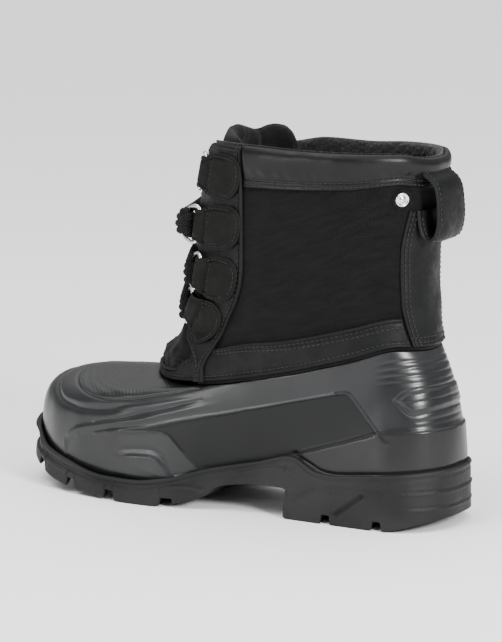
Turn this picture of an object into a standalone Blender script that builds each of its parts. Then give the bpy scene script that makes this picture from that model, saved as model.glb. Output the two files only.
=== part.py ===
"""Stable boot, left foot: a moulded rubber sole and shell under a laced textile shaft.

Frame: +X towards the toe, +Y towards the outer side of the foot, +Z up.
The origin is on the floor, under the middle of the heel.
Sizes are in millimetres, and "ahead" is measured forwards from the back of the heel.
"""
import math

import bmesh
import bpy
from mathutils import Vector

MM = 0.001
HEEL_REST = 88.0        # ahead of the middle of the heel's flat, where the origin is
CLEARANCE = 0.3         # gap between pieces that touch
TONGUE_GAP = 1.2        # between the tongue and the shaft round it
OVERLAY = 0.5           # gap under a strip sewn on the curved shaft, and round the shell in the sole

RIM_GAP = 0.7           # between the shell's rim and the shaft standing on it
SHELL_WALL = 2.5
SHAFT_WALL = 3.0
SOLE_WALL = 2.8         # the sole's raised rim round the shell
LEATHER = 1.6
INSOLE_THICKNESS = 4.5
INSOLE_GAP = 0.8
BAND_DROP = 0.7         # how far the band comes down to the shell's rim round the front
BAND_DROP_START = 170.0
BAND_DROP_LENGTH = 25.0
BAND_START = 0.014      # the share of the shaft's height at which the band and the backstay start
BAND_BACK_GAP = 1.0     # between the band's ends and the backstay
FACING_LIP = 0.001      # how far the facings run past the throat's edge, as a share of the girth
FACING_STEP = 0.2       # more gap where the facings lie over the band
FACING_STEP_TOP = 0.225  # the facings come down off the band's top below this share
FACING_STEP_RISE = 0.05
BACKSTAY_TOP = 0.73
COLLAR_BACK_GAP = 0.003  # between the collar band and the facings, as a share of the girth
TONGUE_LEAN = 6.0       # how far the tongue's top leans back off the shaft
TONGUE_CROWN = 0.075    # how far the tongue's middle stands above the collar, as a share of the shaft
TONGUE_BEND = 0.8       # the share at which the tongue starts to lean back and its top to curve
TONGUE_FOOT_BULGE = 3.5  # how far the tongue's foot fills the throat's wide bottom
TONGUE_FOOT_SLOPE = 0.22    # over this share of its half width the bulge rises from the throat's edge
TONGUE_FOOT_INSET = 0.6
TONGUE_FOOT_TOP = 0.165

FOOT_REAR = 3.4
FOOT_FRONT = 303.0
HEEL_ROUND = 38.0       # lengths over which the foot's outline closes at its ends
TOE_ROUND = 55.0
END_POWER = 2.2
OVAL_POWER = 2.3        # 2 is an ellipse, more is squarer
TOE_POWER = 4.4         # how square the toe's profile is
VAMP_DIP = 5.2          # the toe's top lies this far under the rim's front
HEEL_BULGE = 2.5        # how late the shell's wall leans in at the heel
TOE_SHAPE_START = 0.48  # where along the foot the wall starts to turn into the toe's dome, and over how much
TOE_SHAPE_LENGTH = 0.36
HEEL_SHAPE_LENGTH = 0.15
SOLE_FLARE = 1.2        # how far the sole's bottom edge stands out past its rim
COLLAR_TWIST = 30.0     # over this distance from the middle the collar's height passes from side to side

LACE_RADIUS = 2.6
LACE_TURN = 12.5        # how far out the lace's crossings turn back
WIRE_RADIUS = 1.2       # the steel wire of the lace rings
RING_HEIGHT = 21.0
RING_REACH = 11.0
RING_AHEAD = 1.0
BAR_BACK = 2.2          # where a ring's bar lies in its tab's fold
BAR_OUT = 3.15
TAB_FRONT_HALF = 8.7    # half the height of a lace tab at its fold, and behind it
TAB_REAR_HALF = 14.0
TAB_LEATHER = 1.2
TAB_CORNER = 9.0        # how much shorter a tab is at its edges than along its middle
TAB_WIDEN_START = 3.0   # how far behind the throat a tab starts to widen, and over what length
TAB_WIDEN_LENGTH = 14.0
TAB_TAIL = 20.0         # behind this the tab's own length counts
STUD_RADIUS = 4.4
STUD_AHEAD = 30.8
STUD_SHARE = 0.78
STUD_SIDES = 12


class Table:
    """Rows of sizes under named columns, read smoothly between the rows."""

    def __init__(self, columns, *rows):
        self.columns = columns.split()
        self.rows = rows

    def at(self, place, column):
        index = self.columns.index(column)
        keys = [row[0] for row in self.rows]
        values = [row[index] for row in self.rows]
        place = min(max(place, keys[0]), keys[-1])
        spans = [b - a for a, b in zip(keys, keys[1:])]
        rises = [(b - a) / span for a, b, span in zip(values, values[1:], spans)]
        slopes = [rises[0]]
        for before, after in zip(rises, rises[1:]):
            level = 0.0 if before * after <= 0 else 2.0 * before * after / (before + after)
            slopes.append(level)
        slopes.append(rises[-1])
        step = min(sum(place >= key for key in keys) - 1, len(spans) - 1)
        part = (place - keys[step]) / spans[step]
        bend = part * part * (3.0 - 2.0 * part)
        rise = values[step] + (values[step + 1] - values[step]) * bend
        rise += spans[step] * slopes[step] * part * (1.0 - part) ** 2
        return rise - spans[step] * slopes[step + 1] * (1.0 - part) * part ** 2


# The last's outline at the bottom of the shell: the line midway between its edges, and half its width.
FOOT = Table("ahead middle half",
             (3, 0.0, 37.5), (40, 0.0, 38.5), (75, 1.0, 37.0), (110, 2.5, 34.5), (150, 3.0, 38.5),
             (190, 2.0, 47.5), (215, 0.0, 49.5), (245, -3.0, 48.5), (275, -6.5, 45.5),
             (303, -8.0, 42.5))
# The bed that the foot stands on, inside the sole.
BED = Table("ahead height",
            (0, 27.0), (60, 25.0), (105, 25.5), (150, 20.5), (190, 12.5), (230, 12.5), (270, 17.0),
            (305, 26.0))
# The underside of the lugs, with the heel's bevel and the toe spring.
TREAD = Table("ahead height", (0, 8.0), (38, 0.0), (205, 0.0), (240, 2.2), (270, 6.5), (305, 19.0))
# The top edge of the sole's rim on the two sides of the foot.
SOLE_RIM = Table("ahead outer inner",
                 (0, 37.0, 37.0), (14, 35.6, 35.6), (36, 33.3, 33.3), (50, 32.0, 33.0), (67, 30.4, 33.0),
                 (77, 31.0, 35.5), (98, 39.6, 52.0), (121, 34.0, 54.0), (142, 29.5, 44.0), (159, 25.3, 30.0),
                 (181, 18.3, 18.5), (207, 14.8, 15.0), (229, 14.8, 15.0), (244, 17.0, 17.0),
                 (256, 20.0, 20.0), (284, 26.3, 26.3), (289, 29.5, 29.5), (299, 36.0, 36.0),
                 (307, 41.0, 41.0))
# The top rim of the shell, under the leather band.
SHELL_RIM = Table("ahead height",
                  (19.5, 107.0), (31, 108.0), (56, 101.0), (94, 90.8), (123, 84.4), (156, 78.2),
                  (178, 76.0), (194, 77.0), (201, 78.6), (207, 81.0))
# The shaft's outline, by share of its height between the shell's rim and the collar.
SHAFT = Table("share rear front half",
              (0.00, 19.5, 207.0, 46.0), (0.045, 20.5, 206.5, 46.0), (0.08, 21.2, 206.0, 46.0),
              (0.11, 21.7, 202.0, 46.0), (0.15, 22.4, 194.5, 46.0), (0.20, 23.0, 188.5, 46.0),
              (0.26, 23.5, 185.5, 46.0), (0.45, 24.0, 183.0, 46.5),
              (0.62, 24.0, 179.0, 47.5), (0.80, 23.0, 173.5, 49.0), (0.90, 21.2, 170.0, 50.0),
              (1.00, 20.0, 167.0, 51.0))
# The collar's height round the leg, on its two sides.
COLLAR = Table("ahead outer inner",
               (20, 222.5, 222.5), (30, 226.0, 225.5), (60, 226.5, 225.0), (90, 227.0, 223.5),
               (121, 228.0, 224.5), (144, 228.0, 221.5), (167, 226.5, 222.0))
# The lower band's top edge: high along the sides, low round the front.
BAND_TOP = Table("ahead share",
                 (20, 0.165), (100, 0.165), (130, 0.172), (156, 0.155), (170, 0.115), (184, 0.055),
                 (200, 0.042))
# The throat: half its width, and the rear edge of the leather facings, by share of the shaft's height.
THROAT = Table("share half facing_rear",
               (0.02, 41.0, 155.6), (0.06, 41.3, 155.6), (0.10, 40.4, 153.4), (0.15, 36.2, 148.6),
               (0.18, 31.7, 145.9), (0.22, 26.5, 143.0), (0.26, 23.0, 139.8), (0.31, 20.0, 135.8),
               (0.36, 18.5, 131.9), (0.43, 18.0, 128.6), (0.50, 18.0, 127.4), (0.75, 20.5, 127.0),
               (1.00, 24.0, 127.0))
# Half the tongue's width and its thickness, by share of the shaft's height.
TONGUE = Table("share half thick",
               (0.02, 44.8, 3.0), (0.11, 44.0, 4.0), (0.18, 38.5, 5.0), (0.25, 35.0, 6.0),
               (0.60, 36.0, 7.0), (1.00, 42.0, 8.0))
# Half the backstay's width, by share of the shaft's height.
BACKSTAY = Table("share half", (0.0, 19.0), (0.25, 23.5), (0.5, 24.0), (0.74, 20.0))
# The four lace tabs on each facing: how high the ring's bar is, by share of the shaft's height.
LACE_TABS = Table("number share tilt back length", (1, 0.880, 3.0, 9.0, 38.3), (2, 0.660, -1.0, 15.4, 39.6),
                  (3, 0.472, 9.0, 22.8, 34.5), (4, 0.315, 33.0, 17.5, 32.0))
# Notches across the tread: where they start at the edge and at their inner end, and their width.
NOTCHES = Table("edge middle width",
                (31.5, 41, 6.0), (66.5, 76, 6.0), (176, 190, 9.0), (219, 232, 6.5), (249, 261, 6.0),
                (276.5, 284, 5.0))
NOTCH_EDGE = 50.0       # how far out their edge place is, and their inner end
NOTCH_MIDDLE = 22.0
NOTCH_OVERRUN = 15.0    # how far past the sole's side their cutters run
ARCH_REACH = 80.0
# Channels along the tread: their middle line, how far out it runs on each side, and width.
HEEL_CHANNEL = Table("ahead out", (20, 9.0), (27, 19.0), (50, 22.0), (79, 21.5))
FORE_CHANNEL = Table("ahead out", (186, 25.0), (215, 28.0), (245, 26.0), (272, 20.0), (292, 15.0))
CHANNEL_WIDTH = 4.0
TREAD_DEPTH = 6.0
BELOW = -9.0            # how far down the tread's cutters reach
# Short grooves that part the blocks down the middle of the forefoot: ahead at their ends and at the middle.
CENTRE_GROOVES = Table("ends middle", (208, 214), (236, 243), (262, 270))
SHAFT_SHARES = (0.0, 0.04, 0.08, 0.125, 0.18, 0.26, 0.37, 0.55, 0.73, 0.87, 1.0)
# The hollow under the arch, in side view: ahead and height.
ARCH = ((102.5, -6), (102.5, 4), (99.6, 13), (100.6, 18), (103, 19), (123, 19), (141, 17),
        (149, 14.5), (161, 6.5), (178, 2), (188, -0.5), (190, -6))
# The pull loop's middle line: how far behind the shaft, its height, and how much it bends with the heel.
PULL_LOOP = Table("place back height follow",
                  (0, 3.6, 210.6, 1.0), (1, 4.8, 206.5, 1.0), (2, 9.4, 204.0, 0.8), (3, 13.0, 199.5, 0.5),
                  (4, 14.2, 192.0, 0.4), (5, 13.8, 184.0, 0.5), (6, 11.8, 178.6, 0.7), (7, 9.0, 177.0, 0.85),
                  (8, 6.2, 180.0, 1.0), (9, 4.2, 186.0, 1.0), (10, 3.7, 192.5, 1.0))
LOOP_HALF = 18.0
LOOP_THICKNESS = 2.0
# The collar band's thickness, by share of the shaft's height: a flat hem, then the soft roll.
COLLAR_ROLL = Table("share thick", (0.838, 1.5), (0.890, 1.5), (0.925, 3.0), (0.965, 3.4), (1.0, 2.4))
# A lace tab's folded strip: how far back from the throat, and how far its middle is above the facing.
TAB_FOLD = Table("place back out", (0, 33, 1.2), (1, 16, 1.9), (2, 7, 4.1), (3, 2.2, 5.2), (4, 0.6, 4.5),
                 (5, 0.0, 3.1), (6, 0.6, 1.7), (7, 2.2, 1.15), (8, 10, 1.1))


def power_close(distance, length, power):
    """How far an outline has opened at a distance from its end: 0 at the end, 1 past the length."""
    if distance >= length:
        return 1.0
    part = max(1.0 - distance / length, 0.0)
    return (1.0 - part ** power) ** (1.0 / power)


def side_of(turn):
    """+1 on the outer half of a loop round the foot, -1 on the inner half."""
    return 1.0 if turn % 1.0 < 0.5 else -1.0


def ease(part):
    part = min(max(part, 0.0), 1.0)
    return part * part * (3.0 - 2.0 * part)


def share_ahead(turn):
    return (1.0 - math.cos(2.0 * math.pi * turn)) / 2.0


def sole_outline(turn, grow=0.0):
    """A point on the last's bottom outline. turn is 0 at the heel, 0.25 outside, 0.5 at the toe."""
    rear = FOOT_REAR - grow
    front = FOOT_FRONT + grow
    ahead = rear + (front - rear) * share_ahead(turn)
    half = (FOOT.at(ahead, "half") + grow)
    half *= power_close(ahead - rear, HEEL_ROUND, END_POWER)
    half *= power_close(front - ahead, TOE_ROUND, END_POWER)
    return ahead, FOOT.at(ahead, "middle") + side_of(turn) * half


def leg_outline(turn, share):
    rear = SHAFT.at(share, "rear")
    front = SHAFT.at(share, "front")
    along = -math.cos(2.0 * math.pi * turn)
    ahead = (rear + front) / 2.0 + along * (front - rear) / 2.0
    half = SHAFT.at(share, "half") * (1.0 - abs(along) ** OVAL_POWER) ** (1.0 / OVAL_POWER)
    return ahead, side_of(turn) * half


def collar_height(turn):
    ahead, out = leg_outline(turn, 1.0)
    outerness = ease(out / COLLAR_TWIST + 0.5)
    inner = COLLAR.at(ahead, "inner")
    return inner + (COLLAR.at(ahead, "outer") - inner) * outerness


def shell_point(turn, level):
    """The shell's outer surface, from its bottom edge at level 0 to its rim at level 1."""
    low_ahead, low_out = sole_outline(turn)
    top_ahead, top_out = leg_outline(turn, 0.0)
    low = BED.at(low_ahead, "height") + CLEARANCE
    top = SHELL_RIM.at(top_ahead, "height")
    frontness = ease((share_ahead(turn) - TOE_SHAPE_START) / TOE_SHAPE_LENGTH)
    sideness = ease(share_ahead(turn) / HEEL_SHAPE_LENGTH)
    lean = level ** HEEL_BULGE
    lean += (ease(level) - lean) * sideness
    angle = level * math.pi / 2.0
    reach = 1.0 - math.cos(angle) ** (2.0 / TOE_POWER)
    climb = math.sin(angle) ** (2.0 / TOE_POWER)
    reach = lean + (reach - lean) * frontness
    climb = level + (climb - level) * frontness
    dip = VAMP_DIP * frontness
    height = low + (top - dip - low) * climb + dip * reach ** 3
    ahead = low_ahead + (top_ahead - low_ahead) * reach
    return Vector((ahead, low_out + (top_out - low_out) * reach, height))


def shaft_point(turn, share):
    """The shaft's outer surface, from the shell's rim at share 0 to the collar at share 1."""
    ahead, out = leg_outline(turn, share)
    low = SHELL_RIM.at(leg_outline(turn, 0.0)[0], "height") + RIM_GAP
    return Vector((ahead, out, low + (collar_height(turn) - low) * share))


def raised(surface, turn, level, out):
    """A point of a surface moved out along its normal."""
    step = 0.002
    here = surface(turn, level)
    if out == 0.0:
        return here
    along = surface(turn + step, level) - surface(turn - step, level)
    below = max(level - step, 0.001)
    above = min(level + step, 0.999) if surface is shell_point else level + step
    up = surface(turn, above) - surface(turn, below)
    return here + up.cross(along).normalized() * out


def shell(turn, level, out=0.0):
    return raised(shell_point, turn, level, out)


def shaft(turn, share, out=0.0):
    return raised(shaft_point, turn, share, out)


def turn_ahead(share, ahead):
    """The outer side's turn at which the shaft is this far ahead."""
    rear = SHAFT.at(share, "rear")
    front = SHAFT.at(share, "front")
    return math.acos(1.0 - 2.0 * (ahead - rear) / (front - rear)) / (2.0 * math.pi)


def turn_wide(share, half, at_front=True):
    """The outer side's turn at which the shaft's front or back is this far from the middle."""
    part = min(half / SHAFT.at(share, "half"), 0.999)
    along = (1.0 - part ** OVAL_POWER) ** (1.0 / OVAL_POWER)
    angle = math.acos(along)
    return 0.5 - angle / (2.0 * math.pi) if at_front else angle / (2.0 * math.pi)


def spread(low, high, count):
    return [low + (high - low) * number / (count - 1) for number in range(count)]


def shares_between(low, high, count=0):
    """The shaft's own rows between two shares, so that strips lie along its facets."""
    if count:
        return spread(low, high, count)
    return [low] + [share for share in SHAFT_SHARES if low + 0.01 < share < high - 0.01] + [high]


def material(name, colour, roughness, metallic=0.0):
    made = bpy.data.materials.new(name)
    made.use_nodes = True
    shader = made.node_tree.nodes["Principled BSDF"]
    shader.inputs["Base Color"].default_value = (*colour, 1.0)
    shader.inputs["Roughness"].default_value = roughness
    shader.inputs["Metallic"].default_value = metallic
    return made


def finish(name, mesh_tool, look, smooth_angle=40):
    """Put the mesh in the boot's collection, with its faces pointing out."""
    bmesh.ops.recalc_face_normals(mesh_tool, faces=mesh_tool.faces)
    mesh = bpy.data.meshes.new(name)
    mesh_tool.to_mesh(mesh)
    mesh_tool.free()
    mesh.materials.append(look)
    mesh.shade_smooth()
    mesh.set_sharp_from_angle(angle=math.radians(smooth_angle))
    piece = bpy.data.objects.new(name, mesh)
    BOOT.objects.link(piece)
    return piece


def world(point):
    return Vector((point[0] - HEEL_REST, point[1], point[2])) * MM


def loft(name, sections, look, ring=False, ladder_ends=False):
    """Join closed sections in order. Ends collapse to a line, close as ladders, or join in a ring."""
    mesh_tool = bmesh.new()
    loops = [[mesh_tool.verts.new(world(point)) for point in section] for section in sections]
    pairs = list(zip(loops, loops[1:]))
    if ring:
        pairs.append((loops[-1], loops[0]))
    for loop, following in pairs:
        for number in range(len(loop)):
            after = (number + 1) % len(loop)
            mesh_tool.faces.new((loop[number], loop[after], following[after], following[number]))
    if ladder_ends:
        for loop in (loops[0], loops[-1]):
            for number in range(len(loop) // 2 - 1):
                mesh_tool.faces.new((loop[number], loop[number + 1], loop[-2 - number], loop[-1 - number]))
    bmesh.ops.remove_doubles(mesh_tool, verts=mesh_tool.verts, dist=0.00002)
    return finish(name, mesh_tool, look)


def wall_section(surface, turn_at, levels, low, high):
    """A closed strip of a surface's wall, up its outer face and down its inner one."""
    outer = [surface(turn_at(level), level, high) for level in levels]
    inner = [surface(turn_at(level), level, low) for level in reversed(levels)]
    return outer + inner


def panel(name, look, surface, edges, levels, low, high, columns):
    """A sheet on a surface between two edges, each a function from level to turn."""
    first, last = edges
    sections = []
    for share in spread(0.0, 1.0, columns):
        def between(level):
            return first(level) + (last(level) - first(level)) * share
        sections.append(wall_section(surface, between, levels, low, high))
    return loft(name, sections, look, ladder_ends=True)


def mirrored(turn):
    return 1.0 - turn


def throat_turn(share):
    return turn_wide(share, THROAT.at(share, "half"))


def facing_turn(share):
    return turn_ahead(share, THROAT.at(share, "facing_rear"))


def band_top(turn):
    """The share at which the lower band ends."""
    return BAND_TOP.at(leg_outline(turn, 0.05)[0], "share")


def make_shell():
    levels = [0.0, 0.1, 0.2, 0.3, 0.42, 0.55, 0.7, 0.85, 1.0]
    sections = []
    for turn in spread(0.0, 1.0, 49)[:-1]:
        sections.append(wall_section(shell, lambda level: turn, levels, -SHELL_WALL, 0.0))
    loft("shell", sections, SHELL_RUBBER, ring=True)


def make_shaft():
    edges = (throat_turn, lambda level: -throat_turn(level))
    panel("shaft", TEXTILE, shaft, edges, SHAFT_SHARES, -SHAFT_WALL, 0.0, 35)


def bed_section(turn, low, high, inset):
    """A cross-section of a footbed: its top from one side to the other, and its underside back."""
    ahead, out = sole_outline(turn, -inset)
    inner = sole_outline(mirrored(turn), -inset)[1]
    across = spread(out, inner, 5)
    top = [(ahead, place, BED.at(ahead, "height") + high) for place in across]
    return top + [(ahead, place, BED.at(ahead, "height") + low) for place in reversed(across)]


def make_insole():
    sections = []
    for turn in spread(0.0, 0.5, 21):
        sections.append(bed_section(turn, CLEARANCE, INSOLE_THICKNESS, SHELL_WALL + INSOLE_GAP))
    loft("insole", sections, LINING)


def rim_level(turn, height):
    """The shell's level at a height, found by halving."""
    low, high = 0.0, 0.9
    for _ in range(24):
        middle = (low + high) / 2.0
        if shell_point(turn, middle).z < height:
            low = middle
        else:
            high = middle
    return low


def sole_side(turn, column):
    """One side of the sole's cross-section, from its bottom corner over the rim to the bed."""
    ahead, out = sole_outline(turn, SOLE_WALL + CLEARANCE)
    bottom = TREAD.at(ahead, "height")
    bed = BED.at(ahead, "height")
    rim = rim_level(turn, SOLE_RIM.at(ahead, column))
    flare = SOLE_FLARE * side_of(turn)
    points = [(ahead, out + flare * power_close(ahead, HEEL_ROUND, 2.0), bottom), (ahead, out, bed)]
    for level in (rim * 0.5, rim):
        points.append(shell(turn, level, SOLE_WALL + OVERLAY))
    points.append(shell(turn, rim, OVERLAY))
    points.append(shell(turn, rim * 0.5, OVERLAY))
    points.append(shell(turn, 0.0, OVERLAY) - Vector((0.0, 0.0, CLEARANCE)))
    return points


def sole_section(turn):
    outer = sole_side(turn, "outer")
    inner = sole_side(mirrored(turn), "inner")
    bed = BED.at(outer[-1][0], "height")
    bottom = outer[0][2]
    across_bed = spread(0.0, 1.0, 5)[1:-1]
    bed_points = [(outer[-1][0] + (inner[-1][0] - outer[-1][0]) * part,
                   outer[-1][1] + (inner[-1][1] - outer[-1][1]) * part, bed) for part in across_bed]
    bottom_points = [(outer[0][0], inner[0][1] + (outer[0][1] - inner[0][1]) * part, bottom)
                     for part in across_bed]
    return outer + bed_points + inner[::-1] + bottom_points


def cutter(name, mesh_tool):
    bmesh.ops.recalc_face_normals(mesh_tool, faces=mesh_tool.faces)
    mesh = bpy.data.meshes.new(name)
    mesh_tool.to_mesh(mesh)
    mesh_tool.free()
    tool = bpy.data.objects.new(name, mesh)
    tool.hide_render = True
    tool.display_type = "WIRE"
    CUTTERS.objects.link(tool)
    return tool


def cut(piece, tool):
    difference = piece.modifiers.new(tool.name, "BOOLEAN")
    difference.operation = "DIFFERENCE"
    difference.use_self = True
    difference.object = tool


def channel(mesh_tool, points, width):
    """A groove's block along a line in plan, with its ends square."""
    edges = []
    for sign in (1.0, -1.0):
        edge = []
        for number, point in enumerate(points):
            before = Vector(points[max(number - 1, 0)])
            along = (Vector(points[min(number + 1, len(points) - 1)]) - before).normalized()
            offset = sign * width / 2.0
            edge.append((point[0] - along.y * offset, point[1] + along.x * offset))
        edges.append(edge)
    roofs = [TREAD.at(ahead, "height") + TREAD_DEPTH for ahead, _ in points]
    loops = []
    for number, roof in enumerate(roofs):
        left, right = edges[0][number], edges[1][number]
        loops.append([mesh_tool.verts.new(world(corner)) for corner in
                      ((*left, BELOW), (*left, roof), (*right, roof), (*right, BELOW))])
    mesh_tool.faces.new(loops[0])
    mesh_tool.faces.new(loops[-1])
    for loop, following in zip(loops, loops[1:]):
        for number in range(4):
            after = (number + 1) % 4
            mesh_tool.faces.new((loop[number], loop[after], following[after], following[number]))


def make_outsole():
    turns = spread(0.0, 0.5, 31)
    outsole = loft("outsole", [sole_section(turn) for turn in turns], SOLE_RUBBER)
    arch = bmesh.new()
    sides = []
    for out in (-ARCH_REACH, ARCH_REACH):
        sides.append([arch.verts.new(world((ahead, out, height))) for ahead, height in ARCH])
    arch.faces.new(sides[0])
    arch.faces.new(sides[1])
    for number in range(len(ARCH)):
        after = (number + 1) % len(ARCH)
        arch.faces.new((sides[0][number], sides[0][after], sides[1][after], sides[1][number]))
    cut(outsole, cutter("arch_cutter", arch))
    notches = bmesh.new()
    for edge, middle, width in NOTCHES.rows:
        slant = (middle - edge) / (NOTCH_EDGE - NOTCH_MIDDLE)
        beyond = edge + width / 2.0 - slant * NOTCH_OVERRUN
        for side in (1.0, -1.0):
            channel(notches, [(beyond, (NOTCH_EDGE + NOTCH_OVERRUN) * side),
                              (middle + width / 2.0, NOTCH_MIDDLE * side)], width)
    cut(outsole, cutter("notch_cutter", notches))
    channels = bmesh.new()
    for table in (HEEL_CHANNEL, FORE_CHANNEL):
        for side in (1.0, -1.0):
            points = [(ahead, FOOT.at(ahead, "middle") + out * side) for ahead, out in table.rows]
            channel(channels, points, CHANNEL_WIDTH)
    for ends, middle in CENTRE_GROOVES.rows:
        centre = FOOT.at(middle, "middle")
        reach = FORE_CHANNEL.at(ends, "out")
        channel(channels, [(ends, centre + reach), (middle, centre), (ends, centre - reach)], CHANNEL_WIDTH)
    cut(outsole, cutter("channel_cutter", channels))


def band_rear(share):
    return turn_wide(share, BACKSTAY.at(share, "half") + BAND_BACK_GAP, at_front=False)


def band_frontness(turn):
    return ease((leg_outline(turn, 0.0)[0] - BAND_DROP_START) / BAND_DROP_LENGTH)


def band_low(turn):
    """The share at which the lower band starts: right on the rim round the front."""
    return BAND_START * (1.0 - band_frontness(turn))


def make_band():
    sections = []
    for part in spread(0.0, 1.0, 45):
        middle = band_rear(0.1) + (1.0 - 2.0 * band_rear(0.1)) * part
        outer, inner = [], []
        for share in shares_between(band_low(middle), band_top(middle), 5):
            turn = band_rear(share) + (1.0 - 2.0 * band_rear(share)) * part
            outer.append(shaft(turn, share, OVERLAY + LEATHER))
            inner.append(shaft(turn, share, OVERLAY))
        drop = Vector((0.0, 0.0, BAND_DROP * band_frontness(turn)))
        outer[0] -= drop
        inner[0] -= drop
        sections.append(outer + inner[::-1])
    loft("lower_band", sections, LEATHER_LOOK, ladder_ends=True)


def facing_lift(share):
    """How far the facings stand off the shaft: over the lower band they ride on top of it."""
    over_band = ease((FACING_STEP_TOP - share) / FACING_STEP_RISE)
    return OVERLAY + (LEATHER + CLEARANCE + FACING_STEP) * over_band


def facing(turn, share, out):
    return shaft(turn, share, out + facing_lift(share))


def make_facings():
    levels = [0.03, 0.06, 0.095, 0.135, 0.175, 0.205, 0.235, 0.30, 0.37, 0.55, 0.73, 0.87, 1.0]
    def front(level):
        return throat_turn(level) + FACING_LIP
    panel("facing_outer", LEATHER_LOOK, facing, (facing_turn, front), levels, 0.0, LEATHER, 8)
    edges = (lambda level: mirrored(facing_turn(level)), lambda level: mirrored(front(level)))
    panel("facing_inner", LEATHER_LOOK, facing, edges, levels, 0.0, LEATHER, 8)


def make_backstay():
    def edge(level):
        return turn_wide(level, BACKSTAY.at(level, "half"), at_front=False)
    panel("backstay", LEATHER_LOOK, shaft, (lambda level: -edge(level), edge),
          shares_between(BAND_START, BACKSTAY_TOP), OVERLAY, OVERLAY + LEATHER, 9)


def make_collar_band():
    levels = [0.838, 0.885, 0.910, 0.945, 0.98, 1.0]
    sections = []
    for part in spread(0.0, 1.0, 31):
        outer, inner = [], []
        for level in levels:
            edge = facing_turn(level) - COLLAR_BACK_GAP
            turn = edge + (mirrored(edge) - 1.0 - edge) * part
            outer.append(shaft(turn, level, OVERLAY + COLLAR_ROLL.at(level, "thick")))
            inner.append(shaft(turn, level, OVERLAY))
        sections.append(outer + inner[::-1])
    loft("collar_band", sections, COLLAR_LEATHER, ladder_ends=True)


def heel_ahead(share, out):
    """Where the shaft's back is at a place across it."""
    rear = SHAFT.at(share, "rear")
    front = SHAFT.at(share, "front")
    part = out / SHAFT.at(share, "half")
    along = (1.0 - abs(part) ** OVAL_POWER) ** (1.0 / OVAL_POWER)
    return (rear + front) / 2.0 - along * (front - rear) / 2.0


def strip_sides(points, thickness):
    """The two faces of a strip along a line in a plane: pairs of coordinates, offset both ways."""
    sides = []
    for sign in (1.0, -1.0):
        side = []
        for number, point in enumerate(points):
            before = Vector(points[max(number - 1, 0)])
            along = (Vector(points[min(number + 1, len(points) - 1)]) - before).normalized()
            offset = sign * thickness / 2.0
            side.append((point[0] - along.y * offset, point[1] + along.x * offset))
        sides.append(side)
    return sides[0] + sides[1][::-1]


def make_pull_loop():
    sections = []
    low = SHELL_RIM.at(20.0, "height")
    for out in spread(-LOOP_HALF, LOOP_HALF, 7):
        points = []
        for _, back, height, follow in PULL_LOOP.rows:
            share = (height - low) / (COLLAR.at(20.0, "outer") - low)
            bend = (heel_ahead(share, out) - heel_ahead(share, 0.0)) * follow
            points.append((heel_ahead(share, 0.0) + bend - back, height))
        sections.append([(ahead, out, height) for ahead, height in strip_sides(points, LOOP_THICKNESS)])
    loft("pull_loop", sections, LEATHER_LOOK, ladder_ends=True)


def girth_turn(share, distance):
    """The outer side's turn at a distance along the shaft's girth from its middle front."""
    count = 160
    walked = 0.0
    before = Vector(leg_outline(0.5, share))
    for number in range(1, count + 1):
        turn = 0.5 - 0.4 * number / count
        here = Vector(leg_outline(turn, share))
        walked += (here - before).length
        if walked >= distance:
            return turn + 0.4 / count * (walked - distance) / (here - before).length
        before = here
    return 0.1


def throat_reach(share):
    """The distance along the girth from the middle front to the throat's edge."""
    turn = throat_turn(share)
    points = [Vector(leg_outline(place, share)) for place in spread(turn, 0.5, 24)]
    return sum((b - a).length for a, b in zip(points, points[1:]))


def shaft_height(share):
    return share * (COLLAR.at(150.0, "outer") - SHELL_RIM.at(205.0, "height"))


class TabPlace:
    """Where one lace tab lies on the shaft: points are given back from the throat, up, and out."""

    def __init__(self, number, side):
        self.share = LACE_TABS.at(number, "share")
        self.tilt = math.radians(LACE_TABS.at(number, "tilt"))
        self.length = LACE_TABS.at(number, "length")
        self.reach = throat_reach(self.share) + LACE_TABS.at(number, "back")
        self.side = side

    def at(self, back, up, out):
        cosine, sine = math.cos(self.tilt), math.sin(self.tilt)
        walk = back * cosine + up * sine
        rise = up * cosine - back * sine
        share = self.share + rise / shaft_height(1.0)
        turn = girth_turn(share, self.reach + walk)
        place = facing(turn, share, LEATHER + out)
        return Vector((place.x, place.y * self.side, place.z))


def sweep(mesh_tool, points, radius, sides, closed=False):
    """A round bar along a line of points."""
    loops = []
    count = len(points)
    for number, point in enumerate(points):
        before = points[(number - 1) % count] if closed or number else point
        after = points[(number + 1) % count] if closed or number < count - 1 else point
        along = (after - before).normalized()
        across = along.cross(Vector((0.0, 0.0, 1.0)) if abs(along.z) < 0.9 else Vector((1.0, 0.0, 0.0)))
        if loops:
            across = previous - along * previous.dot(along)
        across.normalize()
        previous = across
        lift = along.cross(across)
        ring = []
        for corner in range(sides):
            angle = 2.0 * math.pi * corner / sides
            ring.append(point + (across * math.cos(angle) + lift * math.sin(angle)) * radius)
        loops.append([mesh_tool.verts.new(world(corner)) for corner in ring])
    pairs = list(zip(loops, loops[1:]))
    if closed:
        pairs.append((loops[-1], loops[0]))
    else:
        mesh_tool.faces.new(loops[0])
        mesh_tool.faces.new(loops[-1])
    for loop, following in pairs:
        for number in range(sides):
            nearest = (number + 1) % sides
            mesh_tool.faces.new((loop[number], loop[nearest], following[nearest], following[number]))


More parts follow.
